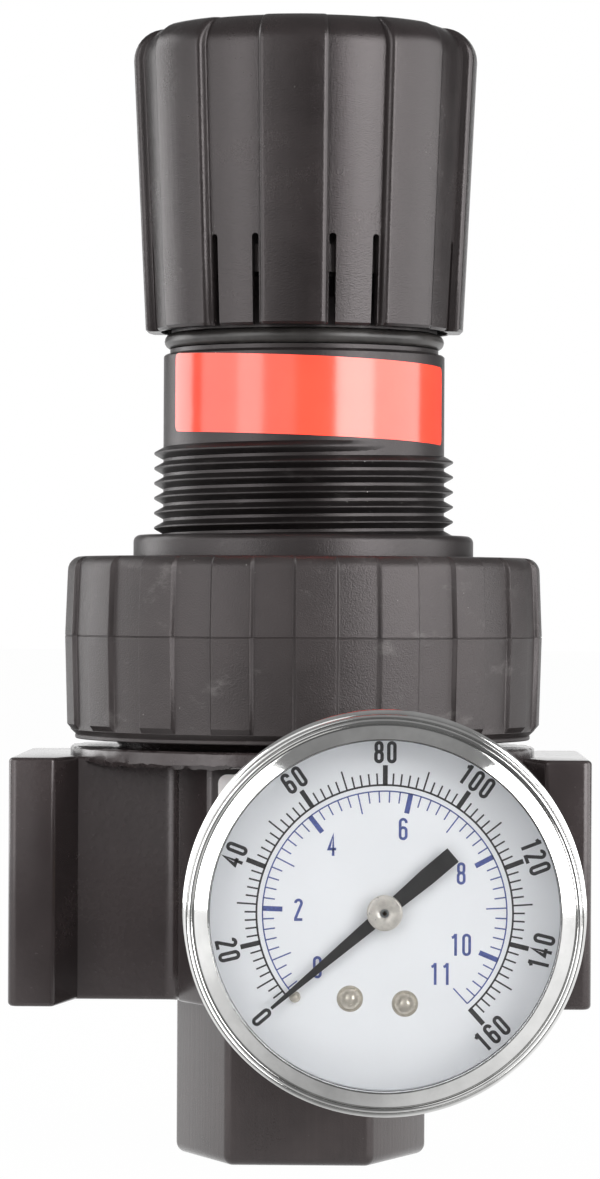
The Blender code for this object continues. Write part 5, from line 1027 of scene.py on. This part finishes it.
class REGULATOR_OT_gauge_case(bpy.types.Operator):
    """Make the gauge's case, chrome bezel and lens"""
    bl_idname = "regulator.gauge_case"
    bl_label = "Gauge case and bezel"

    def execute(self, context):
        gauge = context.scene.regulator_gauge
        front = DIAL_FRONT - low("gauge_bezel")[1]
        bezel_back = DIAL_FRONT - high("gauge_bezel")[1]
        case_back = DIAL_FRONT - high("gauge_case")[1]
        case_front = DIAL_FRONT - low("gauge_case")[1]
        lens_back = DIAL_FRONT - high("gauge_lens")[1]
        outer = width("gauge_bezel") / 2
        radius = gauge.case_radius
        case = spun([(6.2 * MM, case_back), *arc((radius - 2.2 * MM, case_back + 2.2 * MM), 2.2 * MM,
                                                 -90, 0, 8),
                     (radius, case_front), (radius - 0.9 * MM, case_front),
                     (radius - 0.9 * MM, case_back + 2.2 * MM), (radius - 2.2 * MM, case_back + 0.9 * MM),
                     (6.2 * MM, case_back + 0.9 * MM)])
        piece("case_cup", moved(case, GAUGE_PLACE), cast_paint("case_paint", (0.03, 0.028, 0.027), 0.3),
              "housing", ["gauge_case"])
        window, groove = gauge.window_radius, gauge.groove_radius
        ledge = lens_back + 1.8 * MM
        slope, rise = 0.03, 0.75 * MM
        lip = outer + gauge.rear_lip
        profile = [(radius + 0.2 * MM, bezel_back), (lip - 0.2 * MM, bezel_back),
                   (lip, bezel_back + 0.2 * MM), (lip, bezel_back + 0.7 * MM),
                   (lip - 0.2 * MM, bezel_back + 0.9 * MM), (outer - 0.4 * MM, bezel_back + 1.0 * MM),
                   (outer - 0.4 * MM, front - 2.0 * MM),
                   *arc((outer - 0.42 * MM, front - 1.55 * MM), 0.42 * MM, -50, 95, 10),
                   (outer - 0.5 * MM, front - 1.24 * MM),
                   *arc((outer - 0.92 * MM, front - 1.32 * MM), 0.36 * MM, 25, 120, 8),
                   (groove + 0.1 * MM, front - 1.6 * MM), (groove - 0.06 * MM, front - 1.6 * MM),
                   (groove - 0.08 * MM, front - 0.8 * MM)]
        reach = groove - 0.2 * MM - window
        for step in range(9):
            share = step / 8
            profile.append((groove - 0.2 * MM - reach * 0.9 * share,
                            front - rise + rise * (share + slope * share * (1 - share))))
        profile += [(window + 0.13 * MM, front - 0.2 * MM), (window + 0.07 * MM, front - 0.2 * MM),
                    (window + 0.05 * MM, front - 0.1 * MM), (window, front - 0.16 * MM), (window, ledge),
                    (radius + 0.2 * MM, ledge)]
        chrome = plated_metal("bezel_chrome", gauge.bezel_tone, 0.07, 0.12)
        piece("bezel_ring", moved(spun(profile, 224), GAUGE_PLACE), chrome, "housing",
              ["gauge_bezel"], 50)
        seal = spun(arc((window + 0.12 * MM, ledge - 0.05 * MM), 0.2 * MM, 0, 330, 11), 160)
        piece("lens_seal", moved(seal, GAUGE_PLACE), sealing_rubber("seal_rubber", (0.05, 0.05, 0.05)),
              "housing")
        glass = spun([(0, lens_back), (radius - 0.25 * MM, lens_back),
                      (radius - 0.25 * MM, lens_back + 1.5 * MM), (0, lens_back + 1.5 * MM)], closed=False)
        piece("lens_disc", moved(glass, GAUGE_PLACE), clear_glass("lens_glass"), "housing",
              ["gauge_lens"])
        liner = spun([(23.3 * MM, 0.05 * MM), (24.05 * MM, 0.05 * MM), (24.05 * MM, lens_back - 0.1 * MM),
                      (22.9 * MM, lens_back - 0.1 * MM), (22.9 * MM, lens_back - 0.5 * MM),
                      (23.3 * MM, lens_back - 0.5 * MM)])
        piece("dial_surround", moved(liner, GAUGE_PLACE), dial_paint("surround_paint", (0.55, 0.56, 0.58)),
              "housing")
        return {"FINISHED"}


# Dial

class RegulatorDial(bpy.types.PropertyGroup):
    drop: length("Drop", "How far the scales are printed below the middle", 0.2 * MM)
    degrees_per_unit: factor("Degrees per unit", "Turn of the pointer for one unit of the outer scale",
                             1.725, 10)
    units_per_bar: factor("Units per inner unit", "Outer units in one unit of the inner scale", 14.504, 20)
    middle: factor("Middle value", "Outer value at the top of the dial", 80, 1000)
    top_value: factor("Highest value", "Last value of the outer scale", 160, 1000)
    first_mark: factor("First mark", "First value that has a mark beside the stop", 6, 1000)
    outer_radius: length("Outer scale", "Radius of the outer scale's line", 16.8 * MM)
    inner_radius: length("Inner scale", "Radius of the inner scale's line", 16.0 * MM)
    numeral_radius: length("Numeral radius", "Radius of the outer numerals", 21.1 * MM)
    numeral_height: length("Numeral height", "Height of the numerals", 2.92 * MM)
    digit_width: length("Digit width", "Width of a digit", 1.26 * MM)
    outer_stroke: length("Outer stroke", "Width of the outer numerals' strokes", 0.45 * MM)
    inner_stroke: length("Inner stroke", "Width of the inner numerals' strokes", 0.36 * MM)


class REGULATOR_OT_dial(bpy.types.Operator):
    """Make the dial, its two scales and numerals, and the screws and stop pin on it"""
    bl_idname = "regulator.dial"
    bl_label = "Dial"

    def execute(self, context):
        gauge = context.scene.regulator_gauge
        dial = context.scene.regulator_dial
        radius = width("gauge_dial") / 2
        disc = spun([(0, -0.6 * MM), (radius, -0.6 * MM), (radius, 0), (0, 0)], closed=False)
        piece("dial_disc", moved(disc, GAUGE_PLACE), dial_paint("dial_white", gauge.dial_tone),
              "housing", ["gauge_dial"])
        black, blue = bmesh.new(), bmesh.new()
        self.outer_scale(dial, black)
        self.inner_scale(dial, blue)
        for name, marks, tone in (("outer_scale", black, gauge.ink_tone),
                                  ("inner_scale", blue, gauge.blue_tone)):
            moved(marks, GAUGE_PLACE @ Matrix.Translation((0, -dial.drop, 0.015 * MM)))
            piece(name, marks, ink(f"{name}_ink", tone), "housing")
        self.screws(gauge)
        return {"FINISHED"}

    def outer_turn(self, dial, value):
        return math.radians((value - dial.middle) * dial.degrees_per_unit)

    def inner_turn(self, dial, value):
        return self.outer_turn(dial, value * dial.units_per_bar)

    def outer_scale(self, dial, bm):
        base = dial.outer_radius
        count = round((dial.top_value - dial.first_mark) / 2)
        for step in range(count + 1):
            value = dial.first_mark + 2 * step
            turn = self.outer_turn(dial, value)
            if value % 20 == 0:
                mark(bm, turn, base - 0.1 * MM, base + 2.6 * MM, 0.64 * MM)
            elif value % 10 == 0:
                mark(bm, turn, base, base + 2.6 * MM, 0.22 * MM)
            else:
                mark(bm, turn, base, base + 1.55 * MM, 0.22 * MM)
        ring(bm, base, 0.25 * MM, self.outer_turn(dial, 4), self.outer_turn(dial, dial.top_value))
        for value in range(0, round(dial.top_value) + 1, 20):
            turn = self.outer_turn(dial, value if value else 4.35)
            upright = Matrix.Rotation(math.pi if abs(turn) > math.pi / 2 else 0, 4, "Z")
            spot = (Matrix.Rotation(-turn, 4, "Z") @ Matrix.Translation((0, dial.numeral_radius, 0))
                    @ upright)
            numeral(bm, str(value), dial.numeral_height, dial.digit_width, dial.outer_stroke, spot)

    def inner_scale(self, dial, bm):
        base = dial.inner_radius
        last = 11
        for step in range(2, last * 5 + 1):
            value = step / 5
            turn = self.inner_turn(dial, value)
            if step % 10 == 0:
                mark(bm, turn, base - 2.6 * MM, base + 0.08 * MM, 0.66 * MM)
            elif step % 5 == 0:
                mark(bm, turn, base - 2.7 * MM, base, 0.18 * MM)
            else:
                mark(bm, turn, base - 1.5 * MM, base, 0.18 * MM)
        ring(bm, base, 0.18 * MM, self.inner_turn(dial, 0.35), self.inner_turn(dial, last))
        for value in (0, 2, 4, 6, 8, 10, 11):
            turn = self.inner_turn(dial, value if value else 0.36)
            reach = base - 4.7 * MM - (0.55 * MM if value > 9 else 0)
            spot = Matrix.Translation((reach * math.sin(turn), reach * math.cos(turn), 0))
            numeral(bm, str(value), dial.numeral_height, dial.digit_width * 0.92, dial.inner_stroke, spot)

    def screws(self, gauge):
        nickel = satin_nickel("screw_nickel", (0.70, 0.64, 0.54), 0.24)
        for side in ("left", "right"):
            node = f"dial_screw_{side}"
            spot = middle(node)
            radius = width(node) / 2
            head = spun([(0, 0), (radius + 0.28 * MM, 0), (radius + 0.28 * MM, 0.05 * MM),
                         (radius, 0.05 * MM),
                         *arc((0, -0.35 * MM), radius * 1.03, 20, 90, 10)], SMALL_ROUND, closed=False)
            place = on_dial(spot)
            piece(f"{node}_head", moved(head, place), nickel, "housing", [node])
        spot = middle("stop_pin")
        radius = width("stop_pin") / 2
        pin = spun([(0, -0.3 * MM), (radius, -0.3 * MM), *arc((0, 0.2 * MM), radius, 0, 90, 8)],
                   SMALL_ROUND, closed=False)
        place = on_dial(spot)
        piece("stop_pin_dome", moved(pin, place), nickel, "housing", ["stop_pin"])


def middle(node):
    lower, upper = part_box(node)
    return [(first + second) / 2 for first, second in zip(lower, upper)]


def on_dial(spot):
    """A place on the dial that faces the front."""
    return Matrix.Translation((spot[0], DIAL_FRONT, spot[2])) @ Matrix.Rotation(math.pi / 2, 4, "X")


def mark(bm, turn, inner, outer, thickness):
    """One radial line of a scale, turned clockwise from the top."""
    line = bmesh.new()
    bmesh.ops.create_grid(line, x_segments=1, y_segments=1, size=0.5)
    moved(line, Matrix.Rotation(-turn, 4, "Z") @ Matrix.Translation((0, (inner + outer) / 2, 0))
          @ Matrix.Diagonal((thickness, outer - inner, 1, 1)))
    added(bm, line)


def ring(bm, radius, thickness, start, end):
    """The curved line of a scale, clockwise from start to end."""
    line = bmesh.new()
    points = [line.verts.new((0, radius + side * thickness / 2, 0)) for side in (-1, 1)]
    edge = line.edges.new(points)
    bmesh.ops.spin(line, geom=points + [edge], cent=(0, 0, 0), axis=(0, 0, 1), angle=start - end,
                   steps=180)
    for face in line.faces:
        if face.normal.z < 0:
            face.normal_flip()
    added(bm, moved(line, Matrix.Rotation(-start, 4, "Z")))


def loop(wide, bottom, top):
    """A narrow closed loop with round ends, as in the bowls of 0, 6 and 8."""
    return [*arc((0, top - wide), wide, 0, 180, 12), *arc((0, bottom + wide), wide, 180, 360, 12)]


def digit_paths(digit, wide, tall):
    """Centre lines of a narrow digit's strokes; wide and tall are half sizes."""
    waist = 0.05 * tall
    if digit == "0":
        return [(loop(wide, -tall, tall), True)]
    if digit == "1":
        stem = 0.35 * wide
        return [([(stem, -tall * 1.12), (stem, tall * 1.12)], False),
                ([(-wide * 0.9, tall * 0.72), (-wide * 0.2, tall * 0.8), (stem, tall * 1.06)], False)]
    if digit == "2":
        return [([*arc((0, tall - wide), wide, 180, -25, 12), (-wide, -tall * 0.9), (-wide, -tall),
                  (wide * 1.3, -tall)], False)]
    if digit == "4":
        stem, bar = 0.4 * wide, -0.42 * tall
        return [([(stem, -tall * 1.12), (stem, tall), (-wide * 1.05, bar), (wide * 1.35, bar)], False)]
    if digit == "6":
        return [(loop(wide, -tall, waist + 0.1 * tall), True),
                ([(-wide, -0.3 * tall), *arc((0, tall - wide), wide, 180, 0, 12),
                  (wide, tall - wide * 1.25)], False)]
    return [(loop(wide * 0.92, waist, tall), True), (loop(wide, -tall, waist), True)]


def ribbon(bm, path, closed, thickness):
    """A flat stroke of even width along a path."""
    points = [Vector((x, y, 0)) for x, y in path]
    count = len(points)
    sides = []
    for index, point in enumerate(points):
        before = points[index - 1] if index or closed else point
        after = points[(index + 1) % count] if index + 1 < count or closed else point
        ways = [way.normalized() for way in (point - before, after - point) if way.length > WELD]
        along = sum(ways, Vector()).normalized()
        across = Vector((-along.y, along.x, 0))
        sides.append((point, across * min(thickness / 2 / max(abs(along.dot(ways[0])), 0.5), thickness)))
    first = [bm.verts.new(point + side * across) for point, across in sides[:1] for side in (1, -1)]
    edge = bm.edges.new(first)
    for point, across in sides[1:] + (sides[:1] if closed else []):
        made = bmesh.ops.extrude_edge_only(bm, edges=[edge])["geom"]
        edge = next(item for item in made if isinstance(item, bmesh.types.BMEdge)
                    and not any(vert in first for vert in item.verts))
        for vert, side in zip(edge.verts, (1, -1)):
            vert.co = point + side * across
        first = list(edge.verts)


def numeral(bm, text, height, digit_width, stroke, spot):
    """A narrow number drawn with even strokes, centred on its spot."""
    pitch = digit_width + 0.42 * MM
    start = -pitch * (len(text) - 1) / 2
    for place, digit in enumerate(text):
        shape = bmesh.new()
        for level, (path, closed) in enumerate(digit_paths(digit, (digit_width - stroke) / 2,
                                                           (height - stroke) / 2)):
            line = bmesh.new()
            ribbon(line, path, closed, stroke)
            bmesh.ops.remove_doubles(line, verts=line.verts, dist=WELD)
            for face in line.faces:
                face.normal_update()
                if face.normal.z < 0:
                    face.normal_flip()
            added(shape, moved(line, Matrix.Translation((0, 0, level * 0.004 * MM))))
        added(bm, moved(shape, spot @ Matrix.Translation((start + place * pitch, 0, 0))))


# Pointer

class RegulatorPointer(bpy.types.PropertyGroup):
    rest: angle("Rest", "Turn of the pointer at rest, anticlockwise from the top", 130.5)
    length: length("Length", "From the hub's centre to the tip", 19.4 * MM)
    tail: length("Tail", "From the hub's centre to the end of the tail", 11.7 * MM)
    root_width: length("Root width", "Width beside the hub", 1.75 * MM)
    tip_width: length("Tip width", "Width at the tip", 0.42 * MM)
    tail_width: length("Tail width", "Width of the tail's block", 2.3 * MM)
    hub_radius: length("Hub radius", "Radius of the hub", 2.35 * MM)


class REGULATOR_OT_pointer(bpy.types.Operator):
    """Make the pointer, its hub and the end of the arbor"""
    bl_idname = "regulator.pointer"
    bl_label = "Pointer"

    def execute(self, context):
        pointer = context.scene.regulator_pointer
        root, tip, tail = pointer.root_width / 2, pointer.tip_width / 2, pointer.tail_width / 2
        outline = [(root, 1.2 * MM), (tip, pointer.length), (-tip, pointer.length), (-root, 1.2 * MM),
                   (-root * 0.8, 0), (-root, -1.2 * MM), (-tail, -0.62 * pointer.tail),
                   (-tail, -pointer.tail), (tail, -pointer.tail), (tail, -0.62 * pointer.tail),
                   (root, -1.2 * MM), (root * 0.8, 0)]
        blade = thickened(flat_shape(outline), 0.35 * MM)
        rest = GAUGE_PLACE @ Matrix.Rotation(pointer.rest, 4, "Z")
        lift = 1.5 * MM
        paint = new_paint("pointer_paint")
        speck = paint.noise(0.0009, 3, 0.6)
        surface = paint.shader(base_color=paint.mix(speck, (0.018, 0.017, 0.017), (0.04, 0.037, 0.036)),
                               roughness=0.42 + (speck - 0.5) * 0.2, normal=paint.bump(speck, 0.00002))
        made = piece("pointer_blade", moved(blade, rest @ Matrix.Translation((0, 0, lift))),
                     paint.output(surface), "pointer", ["pointer"])
        soften(made, 0.06 * MM)
        radius = pointer.hub_radius
        hub = spun([(0, -0.8 * MM), (1.5 * MM, -0.8 * MM), (1.5 * MM, 0.2 * MM),
                    (radius - 0.1 * MM, 0.2 * MM), (radius, 0.35 * MM), (radius, 1.05 * MM),
                    *arc((radius - 0.28 * MM, 1.05 * MM), 0.28 * MM, 15, 85, 5),
                    (0.75 * MM, 1.42 * MM), (0.55 * MM, 1.25 * MM), (0, 1.25 * MM)], 96, closed=False)
        place = rest @ Matrix.Translation((0, 0, lift))
        nickel = satin_nickel("hub_nickel", (0.80, 0.75, 0.68), 0.30)
        piece("pointer_hub", moved(hub, place), nickel, "pointer", sharp=60)
        end = spun([(0, 1.2 * MM), (0.42 * MM, 1.2 * MM), (0.42 * MM, 1.5 * MM), (0.3 * MM, 1.6 * MM),
                    (0, 1.6 * MM)], SMALL_ROUND, closed=False)
        copper = plated_metal("arbor_copper", (0.50, 0.27, 0.13), 0.3, 0.4)
        piece("arbor_end", moved(end, place), copper, "pointer")
        return {"FINISHED"}


# Pieces that keep their solids

class REGULATOR_OT_metalwork(bpy.types.Operator):
    """Finish the metal, rubber and plastic pieces that keep their solids"""
    bl_idname = "regulator.metalwork"
    bl_label = "Inner pieces and fittings"

    def execute(self, context):
        brass = plated_metal("machined_brass", (0.66, 0.48, 0.22), 0.26, 0.5, 0.0004)
        steel = plated_metal("zinc_steel", (0.52, 0.52, 0.51), 0.34, 0.6, 0.0005)
        rubber = sealing_rubber("inner_rubber", (0.018, 0.017, 0.017))
        nylon = moulded_plastic("white_nylon", (0.66, 0.66, 0.62), 0.45, dust=0.0)
        finishes = {
            brass: ("gauge_socket", "valve_seat", "relief_seat", "spring_rest", "sector_gear", "link",
                    "tube_tip", "bourdon_tube", "movement_rear_plate", "movement_front_plate",
                    "hairspring"),
            steel: ("adjusting_screw", "retaining_clip", "range_spring", "valve_spring",
                    "diaphragm_plate", "pointer_arbor", "rear_port_plug"),
            rubber: ("plug_oring", "tail_oring", "valve_seal", "diaphragm"),
            nylon: ("thrust_washer", "valve_poppet"),
        }
        for material, nodes in finishes.items():
            for node in nodes:
                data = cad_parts[node].data
                data.materials.clear()
                data.materials.append(material)
        return {"FINISHED"}


# Stage: floor, lights, surroundings and camera

class RegulatorStage(bpy.types.PropertyGroup):
    camera_distance: length("Camera distance", "From the camera to the knob's axis", 627 * MM)
    camera_height: length("Camera height", "Height of the camera", 79.1 * MM)
    camera_aside: length("Camera aside", "How far right of the axis the camera stands", 10.1 * MM)
    focal_pixels: factor("Focal length", "Focal length in pixels of the photograph", 4400, 20000)
    horizon_row: factor("Horizon row", "Picture row of the camera's own height", 597.5, 2000)
    aim_column: factor("Straight-ahead column", "Picture column straight ahead of the body's front", 374,
                       2000)
    roll: angle("Roll", "Turn of the camera about its view", 0.28)
    floor_tone: colour("Floor", "Colour of the floor", (0.92, 0.92, 0.92))


PICTURE_WIDTH = 600
PICTURE_HEIGHT = 1179
SENSOR = 36


class REGULATOR_OT_stage(bpy.types.Operator):
    """Make the floor, the soft lights, the surroundings and the camera"""
    bl_idname = "regulator.stage"
    bl_label = "Stage"

    def execute(self, context):
        stage = context.scene.regulator_stage
        self.floor(stage)
        self.surroundings(context)
        for name, azimuth, span, radiance in (
                ("right_inner_box", 43, 33, 6.4), ("right_outer_box", 84, 47, 3.2),
                ("left_near_box", -19, 26, 0.8), ("left_front_box", -43, 22, 3.4),
                ("left_side_box", -72, 36, 1.8), ("left_rear_box", -118, 33, 3.1)):
            self.softbox(context, name, azimuth, span, 0.0, 0.75, radiance)
        for name, floor_gap, radiance in (("front_fill", 0.15, 1.5), ("upper_fill", 0.9, 2.6)):
            fill = self.softbox(context, name, 0, 60, floor_gap, 0.8, radiance)
            fill.visible_glossy = False
        self.camera(context, stage)
        context.scene.view_settings.view_transform = "Standard"
        return {"FINISHED"}

    def floor(self, stage):
        bm = bmesh.new()
        bmesh.ops.create_grid(bm, x_segments=4, y_segments=4, size=6)
        mesh = bpy.data.meshes.new("floor")
        bm.to_mesh(mesh)
        bm.free()
        paint = new_paint("floor_paint")
        seen = seen_directly(paint)
        lit = paint.shader(base_color=stage.floor_tone, roughness=0.8)
        white = paint.node("ShaderNodeEmission", {}, {"Color": (1, 1, 1, 1), "Strength": 1.0})
        bright = paint.node("ShaderNodeMixShader", {}, (seen * 0.985, lit, white))
        depth = paint.node("ShaderNodeSeparateXYZ", {}, {"Vector": paint.place()}, "Y")
        glossy_ray = paint.node("ShaderNodeLightPath", {}, {}, "Is Glossy Ray")
        aside = paint.node("ShaderNodeSeparateXYZ", {}, {"Vector": paint.place()}, "X")
        aside = paint.node("ShaderNodeMath", {"operation": "ABSOLUTE"}, (aside,))
        shade = glossy_ray * paint.ramp(depth + aside * 1.3, 0.02, -0.12) * 0.93
        dark = paint.shader(base_color=(0.02, 0.02, 0.02), roughness=1.0)
        mesh.materials.append(paint.output(paint.node("ShaderNodeMixShader", {}, (shade, bright, dark))))
        made = bpy.data.objects.new("floor", mesh)
        bpy.context.scene.collection.objects.link(made)

    def surroundings(self, context):
        world = bpy.data.worlds.new("studio")
        context.scene.world = world
        paint = Paint(world)
        heading = paint.node("ShaderNodeTexCoord", {}, {}, "Generated")
        depth = paint.node("ShaderNodeSeparateXYZ", {}, {"Vector": heading}, "Y")
        behind = paint.ramp(depth, 0.90, 0.985)
        above = paint.node("ShaderNodeSeparateXYZ", {}, {"Vector": heading}, "Z")
        overhead = paint.ramp(above, 0.3, 0.8)
        level = 0.13 + behind * 0.87 + overhead * 0.15
        camera_ray = paint.node("ShaderNodeLightPath", {}, {}, "Is Camera Ray")
        strength = level + (1 - level) * camera_ray
        paint.output(paint.node("ShaderNodeBackground", {}, {"Color": (1, 1, 1, 1), "Strength": strength}),
                     "ShaderNodeOutputWorld")

    def softbox(self, context, name, azimuth, span, floor_gap, tall, radiance):
        """A panel of even light; azimuth runs from the camera's side to the right."""
        distance = 1.0
        turn = math.radians(azimuth)
        data = bpy.data.lights.new(name, "AREA")
        data.shape = "RECTANGLE"
        data.size = 2 * distance * math.tan(math.radians(span / 2))
        data.size_y = tall
        data.energy = radiance * math.pi * data.size * data.size_y
        lamp = bpy.data.objects.new(name, data)
        place = Vector((math.sin(turn) * distance, -math.cos(turn) * distance, floor_gap + tall / 2))
        lamp.location = place
        inward = Vector((-place.x, -place.y, min(0.4 - place.z, 0)))
        lamp.rotation_euler = inward.to_track_quat("-Z", "Y").to_euler()
        context.scene.collection.objects.link(lamp)
        return lamp

    def camera(self, context, stage):
        """Level camera in front, turned a little to the left and up as in the photograph."""
        data = bpy.data.cameras.new("camera")
        data.sensor_width = SENSOR
        data.lens = stage.focal_pixels * SENSOR / PICTURE_HEIGHT
        data.clip_start = 0.01
        camera = bpy.data.objects.new("camera", data)
        yaw = math.atan((stage.aim_column - PICTURE_WIDTH / 2) / stage.focal_pixels)
        pitch = math.atan((stage.horizon_row - PICTURE_HEIGHT / 2) / stage.focal_pixels)
        camera.matrix_world = (Matrix.Translation((stage.camera_aside, -stage.camera_distance,
                                                   stage.camera_height))
                               @ Matrix.Rotation(yaw, 4, "Z") @ Matrix.Rotation(math.pi / 2 + pitch, 4, "X")
                               @ Matrix.Rotation(stage.roll, 4, "Z"))
        context.scene.collection.objects.link(camera)
        context.scene.camera = camera


def seen_directly(paint):
    """1 where the camera, a mirror or a lens looks at the surface."""
    rays = [paint.node("ShaderNodeLightPath", {}, {}, name)
            for name in ("Is Camera Ray", "Is Glossy Ray", "Is Transmission Ray")]
    first = paint.node("ShaderNodeMath", {"operation": "MAXIMUM"}, (rays[0], rays[1]))
    return paint.node("ShaderNodeMath", {"operation": "MAXIMUM"}, (first, rays[2]))


# Panel and registration

class REGULATOR_PT_panel(bpy.types.Panel):
    """Lists the pieces of the regulator"""
    bl_idname = "REGULATOR_PT_panel"
    bl_label = "Relieving Air Regulator"
    bl_space_type = "VIEW_3D"
    bl_region_type = "UI"
    bl_category = "Regulator"

    def draw(self, context):
        for name in SETTINGS:
            box = self.layout.box()
            for key in getattr(context.scene, name).bl_rna.properties.keys():
                if key not in ("rna_type", "name"):
                    box.prop(getattr(context.scene, name), key)
        for operator in OPERATORS:
            self.layout.operator(operator.bl_idname)


SETTINGS = {
    "regulator_knob": RegulatorKnob,
    "regulator_neck": RegulatorNeck,
    "regulator_label": RegulatorLabel,
    "regulator_collar": RegulatorCollar,
    "regulator_body": RegulatorBody,
    "regulator_plug": RegulatorPlug,
    "regulator_gauge": RegulatorGauge,
    "regulator_dial": RegulatorDial,
    "regulator_pointer": RegulatorPointer,
    "regulator_stage": RegulatorStage,
}

OPERATORS = (
    REGULATOR_OT_knob,
    REGULATOR_OT_bonnet,
    REGULATOR_OT_neck_ring,
    REGULATOR_OT_label,
    REGULATOR_OT_collar,
    REGULATOR_OT_body,
    REGULATOR_OT_front_plate,
    REGULATOR_OT_plug,
    REGULATOR_OT_gauge_case,
    REGULATOR_OT_dial,
    REGULATOR_OT_pointer,
    REGULATOR_OT_metalwork,
    REGULATOR_OT_stage,
)


def register():
    for name, group in SETTINGS.items():
        bpy.utils.register_class(group)
        setattr(bpy.types.Scene, name, bpy.props.PointerProperty(type=group))
    for operator in OPERATORS:
        bpy.utils.register_class(operator)
    bpy.utils.register_class(REGULATOR_PT_panel)


def unregister():
    bpy.utils.unregister_class(REGULATOR_PT_panel)
    for operator in reversed(OPERATORS):
        bpy.utils.unregister_class(operator)
    for name, group in reversed(SETTINGS.items()):
        delattr(bpy.types.Scene, name)
        bpy.utils.unregister_class(group)


def main():
    register()
    for operator in OPERATORS:
        group, name = operator.bl_idname.split(".")
        getattr(getattr(bpy.ops, group), name)()


if __name__ == "__main__":
    main()
